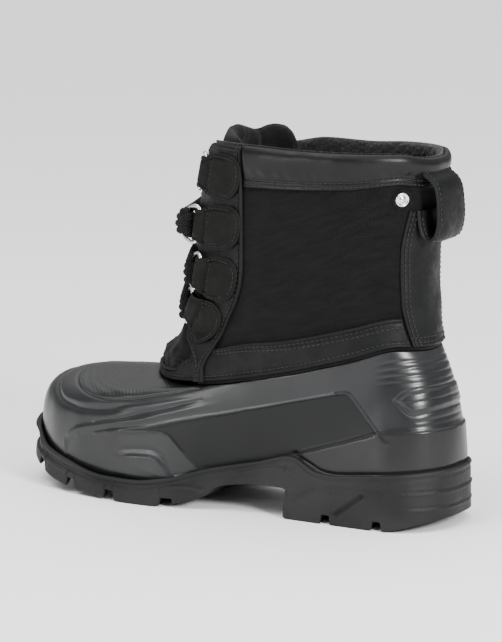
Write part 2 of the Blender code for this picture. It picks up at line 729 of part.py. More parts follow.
def make_tab(name, place):
    sections = []
    for part in spread(-1.0, 1.0, 5):
        shorter = TAB_CORNER * abs(part) ** 3
        fold = [(place.length - shorter if back > TAB_TAIL else back, out) for _, back, out in TAB_FOLD.rows]
        section = []
        for back, out in strip_sides(fold, TAB_LEATHER):
            widened = ease((back - TAB_WIDEN_START) / TAB_WIDEN_LENGTH)
            half = TAB_FRONT_HALF + (TAB_REAR_HALF - TAB_FRONT_HALF) * widened
            section.append(place.at(back, part * half, out))
        sections.append(section)
    loft(name, sections, LEATHER_LOOK, ladder_ends=True)


def make_ring(name, place):
    half = RING_HEIGHT / 2.0
    corners = [(0.0, up) for up in spread(-half, half, 5)]
    for angle in spread(68.0, -68.0, 6):
        angle = math.radians(angle)
        corners.append((-RING_REACH * math.cos(angle) - RING_AHEAD, half * math.sin(angle)))
    points = [place.at(BAR_BACK + back, up, BAR_OUT) for back, up in corners]
    mesh_tool = bmesh.new()
    sweep(mesh_tool, points, WIRE_RADIUS, 5, closed=True)
    finish(name, mesh_tool, STEEL)


def make_tabs():
    for side, word in ((1.0, "outer"), (-1.0, "inner")):
        for row in LACE_TABS.rows:
            number = row[0]
            place = TabPlace(number, side)
            make_tab(f"lace_tab_{word}_{number}", place)
            make_ring(f"d_ring_{word}_{number}", place)


def lace_point(out, share):
    turn = turn_wide(share, abs(out)) if out else 0.5
    depth = SHAFT_WALL + TONGUE_GAP - OVERLAY - LACE_RADIUS
    place = shaft(turn, share, -depth)
    return Vector((place.x, math.copysign(place.y, out), place.z))


def make_lace():
    """Two cords that cross between the rings, and the bar between the lowest pair, joined."""
    shares = [row[1] for row in LACE_TABS.rows][::-1]
    strands = [[lace_point(out, shares[0]) for out in spread(-LACE_TURN, LACE_TURN, 5)]]
    for side in (1.0, -1.0):
        strand = []
        for number, (low, high) in enumerate(zip(shares, shares[1:])):
            for part in spread(0.0, 1.0, 5)[1 if number else 0:]:
                out = LACE_TURN * side * (1.0 - 2.0 * part) * (-1.0) ** number
                strand.append(lace_point(out, low + (high - low) * part))
        strands.append(strand)
    pieces = []
    for number, strand in enumerate(strands):
        mesh_tool = bmesh.new()
        sweep(mesh_tool, strand, LACE_RADIUS, 6)
        if number:
            pieces.append(cutter(f"lace_strand_{number}", mesh_tool))
        else:
            lace = finish("lace", mesh_tool, LACE)
    for piece in pieces:
        union = lace.modifiers.new(piece.name, "BOOLEAN")
        union.operation = "UNION"
        union.object = piece


def make_stud():
    turn = turn_ahead(STUD_SHARE, STUD_AHEAD)
    centre = shaft(turn, STUD_SHARE, OVERLAY)
    axis = (shaft(turn, STUD_SHARE, OVERLAY + 1.0) - centre).normalized()
    across = axis.cross(Vector((0.0, 0.0, 1.0))).normalized()
    lift = axis.cross(across)
    profile = ((STUD_RADIUS, 0.0), (STUD_RADIUS, 0.8), (STUD_RADIUS * 0.8, 2.0), (STUD_RADIUS * 0.3, 2.4))
    mesh_tool = bmesh.new()
    loops = []
    for radius, out in profile:
        ring = []
        for corner in range(STUD_SIDES):
            angle = 2.0 * math.pi * corner / STUD_SIDES
            beside = across * math.cos(angle) + lift * math.sin(angle)
            ring.append(centre + axis * out + beside * radius)
        loops.append([mesh_tool.verts.new(world(point)) for point in ring])
    mesh_tool.faces.new(loops[0])
    mesh_tool.faces.new(loops[-1])
    for loop, following in zip(loops, loops[1:]):
        for number in range(STUD_SIDES):
            after = (number + 1) % STUD_SIDES
            mesh_tool.faces.new((loop[number], loop[after], following[after], following[number]))
    finish("snap_stud", mesh_tool, STEEL)


def make_tongue():
    levels = [0.02, 0.04, 0.08, 0.125, 0.18, 0.26, 0.37, 0.6, 0.8, 0.95, 1.0]
    sections = []
    for part in spread(-1.0, 1.0, 11):
        outer, inner = [], []
        crown = TONGUE_CROWN * (1.0 - abs(part) ** 2.5)
        for level in levels:
            level += crown * ease((level - TONGUE_BEND) / (1.0 - TONGUE_BEND))
            half = 0.5 - turn_wide(min(level, 1.0), TONGUE.at(level, "half"))
            turn = 0.5 + half * part
            opening = (0.5 - throat_turn(min(level, 1.0))) / half
            bulge = TONGUE_FOOT_BULGE * ease((opening - abs(part)) / TONGUE_FOOT_SLOPE - TONGUE_FOOT_INSET)
            bulge *= ease((TONGUE_FOOT_TOP - level) / 0.05)
            depth = SHAFT_WALL + TONGUE_GAP - bulge
            depth += TONGUE_LEAN * ease((level - TONGUE_BEND) / (1.0 - TONGUE_BEND + TONGUE_CROWN))
            outer.append(shaft(turn, level, -depth))
            inner.append(shaft(turn, level, -depth - TONGUE.at(level, "thick")))
        sections.append(outer + inner[::-1])
    loft("tongue", sections, TEXTILE, ladder_ends=True)


for thing in list(bpy.data.objects):
    bpy.data.objects.remove(thing, do_unlink=True)
BOOT = bpy.data.collections.new("stable_boot")
CUTTERS = bpy.data.collections.new("cutters")
bpy.context.scene.collection.children.link(BOOT)
bpy.context.scene.collection.children.link(CUTTERS)

SOLE_RUBBER = material("sole_rubber", (0.035, 0.036, 0.038), 0.7)
SHELL_RUBBER = material("shell_rubber", (0.055, 0.058, 0.063), 0.5)
TEXTILE = material("shaft_textile", (0.012, 0.012, 0.013), 0.85)
LEATHER_LOOK = material("strip_leather", (0.016, 0.018, 0.017), 0.6)
COLLAR_LEATHER = material("collar_leather", (0.02, 0.02, 0.022), 0.4)
LINING = material("lining", (0.02, 0.02, 0.02), 0.95)
STEEL = material("ring_steel", (0.75, 0.75, 0.76), 0.2, 1.0)
LACE = material("lace_cord", (0.008, 0.008, 0.008), 0.9)

make_outsole()
make_shell()
make_shaft()
make_insole()
make_band()
make_facings()
make_backstay()
make_collar_band()
make_pull_loop()
make_tongue()
make_tabs()
make_lace()
make_stud()
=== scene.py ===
"""Looks of the stable boot: rubber shell and sole, laced textile shaft, leather strips, steel rings.

Sizes are in millimetres as (ahead, out, height): ahead of the heel's back, out to the boot's outer
side, and up from the floor. world() turns them into the row frame's metres.
A place on the shell or the shaft is a turn (0 behind, 0.25 outer side, 0.5 in front) and a level.
"""
import math

import bmesh
import bpy
import numpy as np
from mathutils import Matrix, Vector

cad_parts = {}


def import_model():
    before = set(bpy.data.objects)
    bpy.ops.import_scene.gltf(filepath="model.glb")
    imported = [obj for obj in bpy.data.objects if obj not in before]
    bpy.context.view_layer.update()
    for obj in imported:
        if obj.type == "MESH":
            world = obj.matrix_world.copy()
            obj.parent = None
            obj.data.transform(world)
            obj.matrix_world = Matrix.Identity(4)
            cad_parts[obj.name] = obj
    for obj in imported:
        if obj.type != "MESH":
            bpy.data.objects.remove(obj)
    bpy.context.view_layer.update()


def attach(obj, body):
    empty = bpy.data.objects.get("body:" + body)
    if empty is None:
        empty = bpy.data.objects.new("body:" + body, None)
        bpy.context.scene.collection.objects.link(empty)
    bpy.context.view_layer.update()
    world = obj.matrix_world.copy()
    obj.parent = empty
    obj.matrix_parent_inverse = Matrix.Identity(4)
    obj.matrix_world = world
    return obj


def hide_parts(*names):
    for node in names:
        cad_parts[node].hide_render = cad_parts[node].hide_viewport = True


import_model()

SEED = 11
MM = 0.001
HEEL_REST = 88.0  # from the heel's back to the frame's origin
CLEARANCE, TONGUE_GAP, RIM_GAP = 0.3, 1.2, 0.7
OVERLAY = 0.5  # what lies on the shaft or the shell starts this far out
SHELL_WALL, CLOTH_WALL, SOLE_WALL, LEATHER, INSOLE_THICKNESS = 2.5, 1.3, 2.8, 1.6, 4.5
FOOT_REAR, FOOT_FRONT = 3.4, 303.0
HEEL_ROUND, TOE_ROUND = 38.0, 55.0
END_POWER, OVAL_POWER, TOE_POWER = 2.2, 2.3, 4.4
VAMP_DIP, HEEL_BULGE = 5.2, 2.5
RING_HEIGHT, RING_REACH, BOW_SET, WIRE_RADIUS = 22.6, 11.0, 1.0, 1.3
BAR_BACK, BAR_OUT = 2.2, 3.15
TAB_FRONT_HALF, TAB_REAR_HALF, TAB_LEATHER = 9.4, 13.8, 1.3
TAB_END_ROUND = 13.0
LACE_RADIUS = 2.6
STUD_AHEAD, STUD_SHARE = 30.8, 0.78
LOOP_HALF, LOOP_THICKNESS = 18.0, 2.0
LEG_HEIGHT = 118.0  # of the shaft at its middle, for seams given by their share of it
EDGE_ROUND = 1.3
EDGE_SEAMS = 2.6, 5.2  # how far in from its sides a strap is sewn
NOISE_WAVES = 9
MERGE, FINE_MERGE = 0.012, 0.001  # points nearer than this become one

# How finely the largest pieces are sampled, round the boot and up it.
SHELL_TURNS, SHELL_LEVELS = 321, 110
SOLE_TURNS, SOLE_ROWS = 391, 34
SHAFT_TURNS, SHAFT_ROWS = 240, 110
LINING_TURNS, COLLAR_TURNS, TONGUE_GRID = 210, 360, 121


# ---------------------------------------------------------------- sizes of the last and the shaft

def ease(part):
    part = np.clip(part, 0.0, 1.0)
    return part * part * (3.0 - 2.0 * part)


def after(place, start, length):
    """0 up to a start, rising softly to 1 over this length."""
    return ease((place - start) / length)


def before(place, end, length):
    """0 from an end on, rising softly to 1 over this length before it."""
    return ease((end - place) / length)


def wave(place, pitch, shift=0.0):
    return np.sin(place * 2.0 * np.pi / pitch + shift)


def ridge(away, width):
    """1 on a line, falling softly to 0 on both sides of it."""
    return np.exp(-(away / width) ** 2)


def dome(edge, radius):
    """The rise of a rounded edge: 0 at the edge, and 1 from this far inside it."""
    return np.sqrt(1.0 - (1.0 - np.clip(edge / radius, 0.0, 1.0)) ** 2)


def rounded(edge, radius=EDGE_ROUND):
    """The share of its thickness that a sheet has at this distance from its edge."""
    return 0.2 + 0.8 * dome(edge, radius)


def grid(first, second):
    return np.meshgrid(first, second, indexing="ij")


class Table:
    """Rows of sizes under named columns, read smoothly between the rows."""

    def __init__(self, columns, *rows):
        self.columns = columns.split()
        self.rows = np.array(rows, float)

    def at(self, place, column):
        keys = self.rows[:, 0]
        values = self.rows[:, self.columns.index(column)]
        place = np.clip(np.asarray(place, float), keys[0], keys[-1])
        spans = np.diff(keys)
        rises = np.diff(values) / spans
        product = rises[:-1] * rises[1:]
        total = np.where(product > 0, rises[:-1] + rises[1:], 1.0)
        slopes = np.concatenate([rises[:1], np.where(product > 0, 2.0 * product / total, 0.0), rises[-1:]])
        step = np.clip(np.searchsorted(keys, place, side="right") - 1, 0, len(spans) - 1)
        part = (place - keys[step]) / spans[step]
        height = values[step] + (values[step + 1] - values[step]) * ease(part)
        height = height + spans[step] * slopes[step] * part * (1.0 - part) ** 2
        return height - spans[step] * slopes[step + 1] * (1.0 - part) * part ** 2

    def row(self, key):
        """The values beside a key, as they are given."""
        return self.rows[self.rows[:, 0] == key][0, 1:].tolist()


FOOT = Table("ahead middle half",
             (3, 0.0, 37.5), (40, 0.0, 38.5), (75, 1.0, 37.0), (110, 2.5, 34.5), (150, 3.0, 38.5),
             (190, 2.0, 47.5), (215, 0.0, 49.5), (245, -3.0, 48.5), (275, -6.5, 45.5), (303, -8.0, 42.5))
BED = Table("ahead height", (0, 27.0), (60, 25.0), (105, 25.5), (150, 20.5), (190, 12.5), (230, 12.5),
            (270, 17.0), (305, 26.0))
TREAD = Table("ahead height", (0, 8.0), (38, 0.0), (205, 0.0), (240, 2.2), (270, 6.5), (305, 19.0))
SOLE_RIM = Table("ahead outer inner",
                 (0, 37.0, 37.0), (14, 35.6, 35.6), (36, 33.3, 33.3), (50, 32.0, 33.0), (67, 30.4, 33.0),
                 (77, 31.0, 35.5), (98, 39.6, 52.0), (121, 34.0, 54.0), (142, 29.5, 44.0), (159, 25.3, 30.0),
                 (181, 18.3, 18.5), (207, 14.8, 15.0), (229, 14.8, 15.0), (244, 17.0, 17.0),
                 (256, 20.0, 20.0), (284, 26.3, 26.3), (289, 29.5, 29.5), (299, 36.0, 36.0),
                 (307, 41.0, 41.0))
SHELL_RIM = Table("ahead height", (19.5, 107.0), (31, 108.0), (56, 101.0), (94, 90.8), (123, 84.4),
                  (156, 78.2), (178, 76.0), (194, 77.0), (201, 78.6), (207, 81.0))
SHAFT = Table("share rear front half",
              (0.00, 19.5, 207.0, 46.0), (0.045, 20.5, 206.5, 46.0), (0.08, 21.2, 206.0, 46.0),
              (0.11, 21.7, 202.0, 46.0), (0.15, 22.4, 194.5, 46.0), (0.20, 23.0, 188.5, 46.0),
              (0.26, 23.5, 185.5, 46.0), (0.45, 24.0, 183.0, 46.5),
              (0.62, 24.0, 179.0, 47.5), (0.80, 23.0, 173.5, 49.0), (0.90, 21.2, 170.0, 50.0),
              (1.00, 20.0, 167.0, 51.0))
COLLAR = Table("ahead outer inner", (20, 222.5, 222.5), (30, 226.0, 225.5), (60, 226.5, 225.0),
               (90, 227.0, 223.5), (121, 228.0, 224.5), (144, 228.0, 221.5), (167, 226.5, 222.0))
BAND_TOP = Table("ahead share",
                 (20, 0.165), (100, 0.165), (130, 0.172), (156, 0.155), (170, 0.115), (184, 0.055),
                 (200, 0.042))
THROAT = Table("share half facing_rear",
               (0.02, 41.0, 155.6), (0.06, 41.3, 155.6), (0.10, 40.4, 153.4), (0.15, 36.2, 148.6),
               (0.18, 31.7, 145.9), (0.22, 26.5, 143.0), (0.26, 23.0, 139.8), (0.31, 20.0, 135.8),
               (0.36, 18.5, 131.9), (0.43, 18.0, 128.6), (0.50, 18.0, 127.4), (0.75, 20.5, 127.0),
               (1.00, 24.0, 127.0))
TONGUE = Table("share half thick",
               (0.02, 44.8, 3.0), (0.11, 44.0, 4.0), (0.18, 38.5, 5.0), (0.25, 35.0, 6.0),
               (0.60, 36.0, 7.0), (1.00, 43.5, 8.0))
BACKSTAY = Table("share half", (0.0, 19.0), (0.25, 23.5), (0.5, 24.0), (0.74, 20.0))
LACE_TABS = Table("number share tilt back length", (1, 0.880, 3.0, 9.0, 38.3), (2, 0.660, -1.0, 15.4, 39.6),
                  (3, 0.472, 9.0, 22.8, 34.5), (4, 0.330, 31.0, 15.5, 31.0))
NOTCHES = Table("edge middle width",
                (31.5, 41, 6.0), (66.5, 76, 6.0), (176, 190, 9.0), (219, 232, 6.5), (249, 261, 6.0),
                (276.5, 284, 5.0))
HEEL_CHANNEL = Table("ahead out", (20, 9.0), (27, 19.0), (50, 22.0), (79, 21.5))
FORE_CHANNEL = Table("ahead out", (186, 25.0), (215, 28.0), (245, 26.0), (272, 20.0), (292, 15.0))
PULL_LOOP = Table("place back height follow",
                  (0, 1.2, 217.6, 1.0), (1, 4.6, 213.6, 1.0), (2, 9.4, 209.6, 0.8), (3, 12.8, 202.6, 0.5),
                  (4, 14.8, 192.0, 0.4), (5, 15.0, 183.0, 0.45), (6, 13.6, 176.8, 0.6), (7, 10.2, 174.6, 0.8),
                  (8, 6.8, 178.0, 1.0), (9, 4.4, 185.0, 1.0), (10, 3.7, 192.5, 1.0))


def oval(part, power):
    """How wide a rounded outline is, as a share, at this part of the way from its middle to its end."""
    return (1.0 - np.abs(part) ** power) ** (1.0 / power)


def power_close(distance, length, power):
    """How far an outline has closed towards its end: 0 at the end and 1 from this length before it."""
    return oval(np.clip(1.0 - distance / length, 0.0, 1.0), power)


def side_of(turn):
    return np.where(np.mod(turn, 1.0) < 0.5, 1.0, -1.0)


def share_ahead(turn):
    """How far along its length, from the heel, a turn reaches on an outline."""
    return (1.0 - np.cos(2.0 * np.pi * turn)) / 2.0


def sole_outline(turn, grow=0.0):
    """The foot's outline seen from above, grown outward by this much."""
    rear, front = FOOT_REAR - grow, FOOT_FRONT + grow
    ahead = rear + (front - rear) * share_ahead(turn)
    half = (FOOT.at(ahead, "half") + grow) * power_close(ahead - rear, HEEL_ROUND, END_POWER)
    half = half * power_close(front - ahead, TOE_ROUND, END_POWER)
    return ahead, FOOT.at(ahead, "middle") + side_of(turn) * half


def leg_outline(turn, share):
    """The shaft's outline seen from above, at a share of its height."""
    rear, front = SHAFT.at(share, "rear"), SHAFT.at(share, "front")
    along = -np.cos(2.0 * np.pi * turn)
    half = SHAFT.at(share, "half") * oval(along, OVAL_POWER)
    return (rear + front) / 2.0 + along * (front - rear) / 2.0, side_of(turn) * half


def unit(vectors):
    return vectors / np.maximum(np.linalg.norm(vectors, axis=-1, keepdims=True), 1e-9)


def joined(*columns):
    """Points from their columns of coordinates, which are broadcast to one shape."""
    return np.stack(np.broadcast_arrays(*columns), axis=-1)


def shell_point(turn, level):
    """The shell's skin, from the footbed's edge at level 0 up and in to its rim at level 1."""
    low_ahead, low_out = sole_outline(turn)
    top_ahead, top_out = leg_outline(turn, 0.0)
    low = BED.at(low_ahead, "height") + CLEARANCE
    top = SHELL_RIM.at(top_ahead, "height")
    frontness = ease((share_ahead(turn) - 0.48) / 0.36)
    sideness = ease(share_ahead(turn) / 0.15)
    lean = level ** HEEL_BULGE
    lean = lean + (ease(level) - lean) * sideness
    angle = level * np.pi / 2.0
    reach = 1.0 - np.clip(np.cos(angle), 0.0, 1.0) ** (2.0 / TOE_POWER)
    climb = np.sin(angle) ** (2.0 / TOE_POWER)
    reach = lean + (reach - lean) * frontness
    climb = level + (climb - level) * frontness
    dip = VAMP_DIP * frontness
    height = low + (top - dip - low) * climb + dip * reach ** 3
    return joined(low_ahead + (top_ahead - low_ahead) * reach, low_out + (top_out - low_out) * reach, height)


def shaft_point(turn, share):
    """The shaft's skin, from the shell's rim at share 0 up to the collar's top at share 1."""
    ahead, out = leg_outline(turn, share)
    low = SHELL_RIM.at(leg_outline(turn, 0.0)[0], "height") + RIM_GAP
    top_ahead, top_out = leg_outline(turn, 1.0)
    inner = COLLAR.at(top_ahead, "inner")
    top = inner + (COLLAR.at(top_ahead, "outer") - inner) * ease(top_out / 30.0 + 0.5)
    return joined(ahead, out, low + (top - low) * share)


def raised(surface, turn, level, out, highest):
    """A place this far out from a surface, along its normal."""
    step = 0.002
    turn, level, out = np.broadcast_arrays(turn, level, out)
    along = surface(turn + step, level) - surface(turn - step, level)
    above = np.minimum(level + step, highest)
    up = surface(turn, above) - surface(turn, np.maximum(level - step, 0.001))
    return surface(turn, level) + unit(np.cross(up, along)) * out[..., None]


def shell(turn, level, out):
    return raised(shell_point, turn, np.clip(level, 0.0, 1.0), out, 0.999)


def shaft(turn, share, out=0.0):
    return raised(shaft_point, turn, share, out, 9.0)


def facing(turn, share, out):
    """A place over the facing, which rises over the lower band at its foot."""
    lift = OVERLAY + (LEATHER + CLEARANCE + 0.2) * before(share, 0.225, 0.05)
    return shaft(turn, share, out + lift)


def turn_ahead(share, ahead):
    """The outer side's turn at which the shaft is this far ahead."""
    rear, front = SHAFT.at(share, "rear"), SHAFT.at(share, "front")
    return np.arccos(1.0 - 2.0 * (ahead - rear) / (front - rear)) / (2.0 * np.pi)


def turn_wide(share, half, at_front=True):
    """The outer side's turn, in front or behind, at which the shaft is this far out."""
    angle = np.arccos(oval(np.minimum(half / SHAFT.at(share, "half"), 0.999), OVAL_POWER)) / (2.0 * np.pi)
    return 0.5 - angle if at_front else angle


def throat_turn(share):
    return turn_wide(share, THROAT.at(share, "half"))


def facing_turn(share):
    return turn_ahead(share, THROAT.at(share, "facing_rear"))


# ---------------------------------------------------------------- mesh helpers

def world(points):
    return (np.asarray(points, float).reshape(-1, 3) - (HEEL_REST, 0.0, 0.0)) * MM


def lengths(points, axis=0):
    """How far along each line of points is, in millimetres, starting at 0."""
    steps = np.linalg.norm(np.diff(points, axis=axis), axis=-1)
    start = np.zeros_like(np.take(steps, [0], axis=axis))
    return np.cumsum(np.concatenate([start, steps], axis=axis), axis=axis)


def spline(points, samples):
    """A smooth line through points, with so many samples to each step."""
    points = np.asarray(points, float)
    full = np.vstack([2 * points[0] - points[1], points, 2 * points[-1] - points[-2]])
    part = np.linspace(0.0, 1.0, samples, endpoint=False)[:, None]
    pieces = []
    for a, b, c, d in zip(full, full[1:], full[2:], full[3:]):
        pieces.append(0.5 * (2 * b + (c - a) * part + (2 * a - 5 * b + 4 * c - d) * part ** 2
                             + (3 * b - a - 3 * c + d) * part ** 3))
    return np.vstack(pieces + [points[-1:]])


def even(points, step, *others):
    """The line resampled at an even step, with other columns carried along."""
    walked = lengths(points)
    places = np.linspace(0.0, walked[-1], max(int(round(walked[-1] / step)), 1) + 1)
    made = []
    for values in (points, *others):
        made.append(np.stack([np.interp(places, walked, column) for column in values.T], axis=-1))
    return made[0] if not others else made


def soft_noise(points, size, seed):
    """A smooth field between about -1 and 1 with features of this size in millimetres."""
    dice = np.random.default_rng(SEED * 1000 + seed)
    total = np.zeros(points.shape[:-1])
    for _ in range(NOISE_WAVES):
        direction = dice.normal(size=3)
        direction *= dice.uniform(0.6, 1.6) / np.linalg.norm(direction)
        total += np.sin(points @ direction * (2.0 * np.pi / size) + dice.uniform(0.0, 6.28))
    return total / math.sqrt(NOISE_WAVES)


def tube_faces(sections, count, closed=False, caps="ladder", start=0):
    """Quads that join closed loops of points in order."""
    index = np.arange(sections * count).reshape(sections, count) + start
    nearer, further = (index, np.roll(index, -1, 0)) if closed else (index[:-1], index[1:])
    quads = np.stack([nearer, np.roll(nearer, -1, 1), np.roll(further, -1, 1), further], -1).reshape(-1, 4)
    faces = quads.tolist()
    if not closed:
        for loop in (index[0].tolist(), index[-1].tolist()):
            if caps == "ladder":
                faces += [(loop[n], loop[n + 1], loop[-2 - n], loop[-1 - n]) for n in range(count // 2 - 1)]
            elif caps == "fan":
                faces.append(tuple(loop))
    return faces


def build(name, points, faces, look, slot, replaced=(), fields=None, padded=None, merge=MERGE):
    """A closed mesh piece that rides on the boot. fields are values for its material, per point."""
    mesh = bpy.data.meshes.new(name)
    mesh.from_pydata(world(points).tolist(), [], faces)
    for field, values in (fields or {}).items():
        vector = values.ndim > 1
        layer = mesh.attributes.new(field, "FLOAT_VECTOR" if vector else "FLOAT", "POINT")
        layer.data.foreach_set("vector" if vector else "value", values.astype(np.float32).ravel())
    tool = bmesh.new()
    tool.from_mesh(mesh)
    bmesh.ops.remove_doubles(tool, verts=tool.verts, dist=merge * MM)
    bmesh.ops.dissolve_degenerate(tool, edges=tool.edges, dist=merge * MM * 0.5)
    bmesh.ops.recalc_face_normals(tool, faces=tool.faces)
    tool.to_mesh(mesh)
    tool.free()
    mesh.materials.append(look)
    mesh.shade_smooth()
    piece = bpy.data.objects.new(name, mesh)
    bpy.context.scene.collection.objects.link(piece)
    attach(piece, "root")
    if replaced:
        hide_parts(*replaced)


def build_loops(name, loops, look, slot, replaced=(), fields=None, closed=False, caps="ladder", **rest):
    """A piece whose skin is closed loops of points in order. Its fields come loop by loop too."""
    faces = tube_faces(*loops.shape[:2], closed, caps)
    flat = {field: values.reshape(-1, *values.shape[2:]) for field, values in (fields or {}).items()}
    build(name, loops.reshape(-1, 3), faces, look, slot, replaced, flat, **rest)


def two_sided(front, back):
    """Loops that run along a sheet's front and return along its back."""
    return np.concatenate([front, back[:, ::-1]], 1)


def cloth_fields(sheet):
    """How far along and up a sheet each of its points is, for its weave."""
    cloth = joined(lengths(sheet, 0), lengths(sheet, 1), 0.0)
    return {"cloth": two_sided(cloth, cloth)}


def across_to(first, last, steps):
    """Points from one line to another in even steps, without the lines themselves."""
    part = np.linspace(0.0, 1.0, steps + 1)[1:-1]
    return first[:, None] + (last - first)[:, None] * part[None, :, None]


def even_turns(outline, samples, count):
    """Turns from the centre back to the centre front, evenly spaced along an outline."""
    sample = np.linspace(0.0, 0.5, samples)
    walked = lengths(outline(sample))
    return np.interp(np.linspace(0.0, walked[-1], count), walked, sample)


def sweep(line, radius, sides, closed=False):
    """Loops of points round a line: (samples, sides, 3), with texture places along and round it."""
    line = np.asarray(line, float)
    if closed:
        tangent = np.roll(line, -1, 0) - np.roll(line, 1, 0)
    else:
        tangent = np.gradient(line, axis=0)
    tangent = unit(tangent)
    across = np.cross(tangent[0], (0.0, 0.0, 1.0))
    if np.linalg.norm(across) < 0.1:
        across = np.cross(tangent[0], (1.0, 0.0, 0.0))
    frames = []
    for direction in tangent:
        across = unit(across - direction * across.dot(direction))
        frames.append(across)
    across = np.array(frames)
    lift = np.cross(tangent, across)
    angle = np.linspace(0.0, 2.0 * np.pi, sides, endpoint=False)
    radius = np.broadcast_to(radius, len(line))[:, None, None]
    offset = across[:, None] * np.cos(angle)[:, None] + lift[:, None] * np.sin(angle)[:, None]
    points = line[:, None] + offset * radius
    walked = np.broadcast_to(lengths(line)[:, None], points.shape[:2])
    return points, joined(walked, np.broadcast_to(angle, points.shape[:2]), 0.0)


STITCH_SIDES = 6
STITCH, FINE_STITCH = (3.1, 2.3, 0.45), (2.8, 2.2, 0.33)  # pitch, length and radius


def stitch_points(line, normals, pitch, length, radius):
    """Separate thread stitches along a line: their points and faces."""
    line, normals = even(line, pitch / 6.0, normals)
    tangent = np.gradient(line, axis=0)
    middles = np.arange(3, len(line) - 3, 6)  # one stitch to every six steps of the line
    centre = line[middles]
    along, up = unit(tangent[middles]), normals[middles]
    up = unit(up - along * (up * along).sum(1, keepdims=True))
    beside = np.cross(up, along)
    places = np.array([-1.0, -0.93, -0.6, 0.0, 0.6, 0.93, 1.0])
    sizes = np.array([0.02, 0.5, 0.95, 1.0, 0.95, 0.5, 0.02]) * radius
    angle = np.linspace(0.0, 2.0 * np.pi, STITCH_SIDES, endpoint=False)
    sag = radius * (0.75 - 1.1 * places ** 2)
    points = (centre[:, None, None] + along[:, None, None] * (places * length / 2.0)[None, :, None, None]
              + beside[:, None, None] * (sizes[:, None] * np.cos(angle))[None, :, :, None]
              + up[:, None, None] * (sizes[:, None] * np.sin(angle) + sag[:, None])[None, :, :, None])
    faces = []
    for number in range(len(middles)):
        faces += tube_faces(len(places), STITCH_SIDES, caps="fan", start=number * len(places) * STITCH_SIDES)
    return points.reshape(-1, 3), faces


def sew(name, rows, slot, stitch=STITCH):
    """Rows of stitches, each a (line, normals) pair, as one piece."""
    points, faces, count = [], [], 0
    for line, normals in rows:
        some, quads = stitch_points(line, normals, *stitch)
        faces += [tuple(corner + count for corner in quad) for quad in quads]
        points.append(some)
        count += len(some)
    build(name, np.vstack(points), faces, THREAD, slot, merge=FINE_MERGE)


def edge_spread(length, step):
    """Shares along a length, closer together near both ends."""
    near = np.array([0.0, 0.12, 0.3, 0.55, 0.9, 1.4, 1.9, 2.4, 2.9, 3.5, 4.2])
    near = near[near < length * 0.4]
    middle = np.linspace(near[-1], length - near[-1], max(int((length - 2 * near[-1]) / step), 2) + 1)[1:-1]
    return np.concatenate([near, middle, (length - near)[::-1]]) / length


class Strip:
    """A leather strip with rounded edges. place turns (u, v) shares into a turn and a level.

    Each groove is the side it runs along, its distance from there, its depth and its width.
    """

    def __init__(self, surface, place, low, step, grooves, relief, rounding=EDGE_ROUND):
        sample = surface(*place(*grid(np.linspace(0, 1, 60), np.linspace(0, 1, 24))), low)
        across = edge_spread(lengths(sample, 0)[-1].mean(), step)
        upward = edge_spread(lengths(sample, 1)[:, -1].mean(), step)
        u, v = grid(across, upward)
        turn, level = place(u, v)
        base = surface(turn, level, low)
        self.first, self.low = lengths(base, 0), lengths(base, 1)
        last, top = self.first[-1:] - self.first, self.low[:, -1:] - self.low
        edge_u, edge_v = np.minimum(self.first, last), np.minimum(self.low, top)
        edge = np.minimum(edge_u, edge_v)
        height = LEATHER * rounded(edge, rounding)
        sides = {"u": edge_u, "v": edge_v, "first": self.first, "last": last, "low": self.low, "top": top}
        for side, distance, depth, width in grooves:
            height = height - depth * ridge(sides[side] - distance, width)
        height = height + relief(u, v, base) * np.clip(edge / 3.0, 0.0, 1.0)
        self.outer = surface(turn, level, low + height)
        self.normals = surface(turn, level, low + 1.0) - base
        self.loops = two_sided(self.outer, base)
        self.fields = {"edge": two_sided(edge, edge)}

    def build(self, name, replaced):
        build_loops(name, self.loops, LEATHER_LOOK, "strip_leather", [replaced], self.fields)

    def line(self, side, distance, start=0.0, end=1.0):
        """A line on the outer face, and its normals, at a distance from the low, top, first or last side."""
        columns = self.low, self.outer, self.normals
        if side in ("first", "last"):
            columns = self.first.T, self.outer.transpose(1, 0, 2), self.normals.transpose(1, 0, 2)
        found = []
        for walked, points, ups in zip(*columns):
            wanted = distance if side in ("low", "first") else walked[-1] - distance
            found.append([[np.interp(wanted, walked, column) for column in values.T] for values in (points, ups)])
        first, last = (int(round(share * (len(found) - 1))) for share in (start, end))
        return np.array(found)[first:last + 1].transpose(1, 0, 2)


# ---------------------------------------------------------------- materials

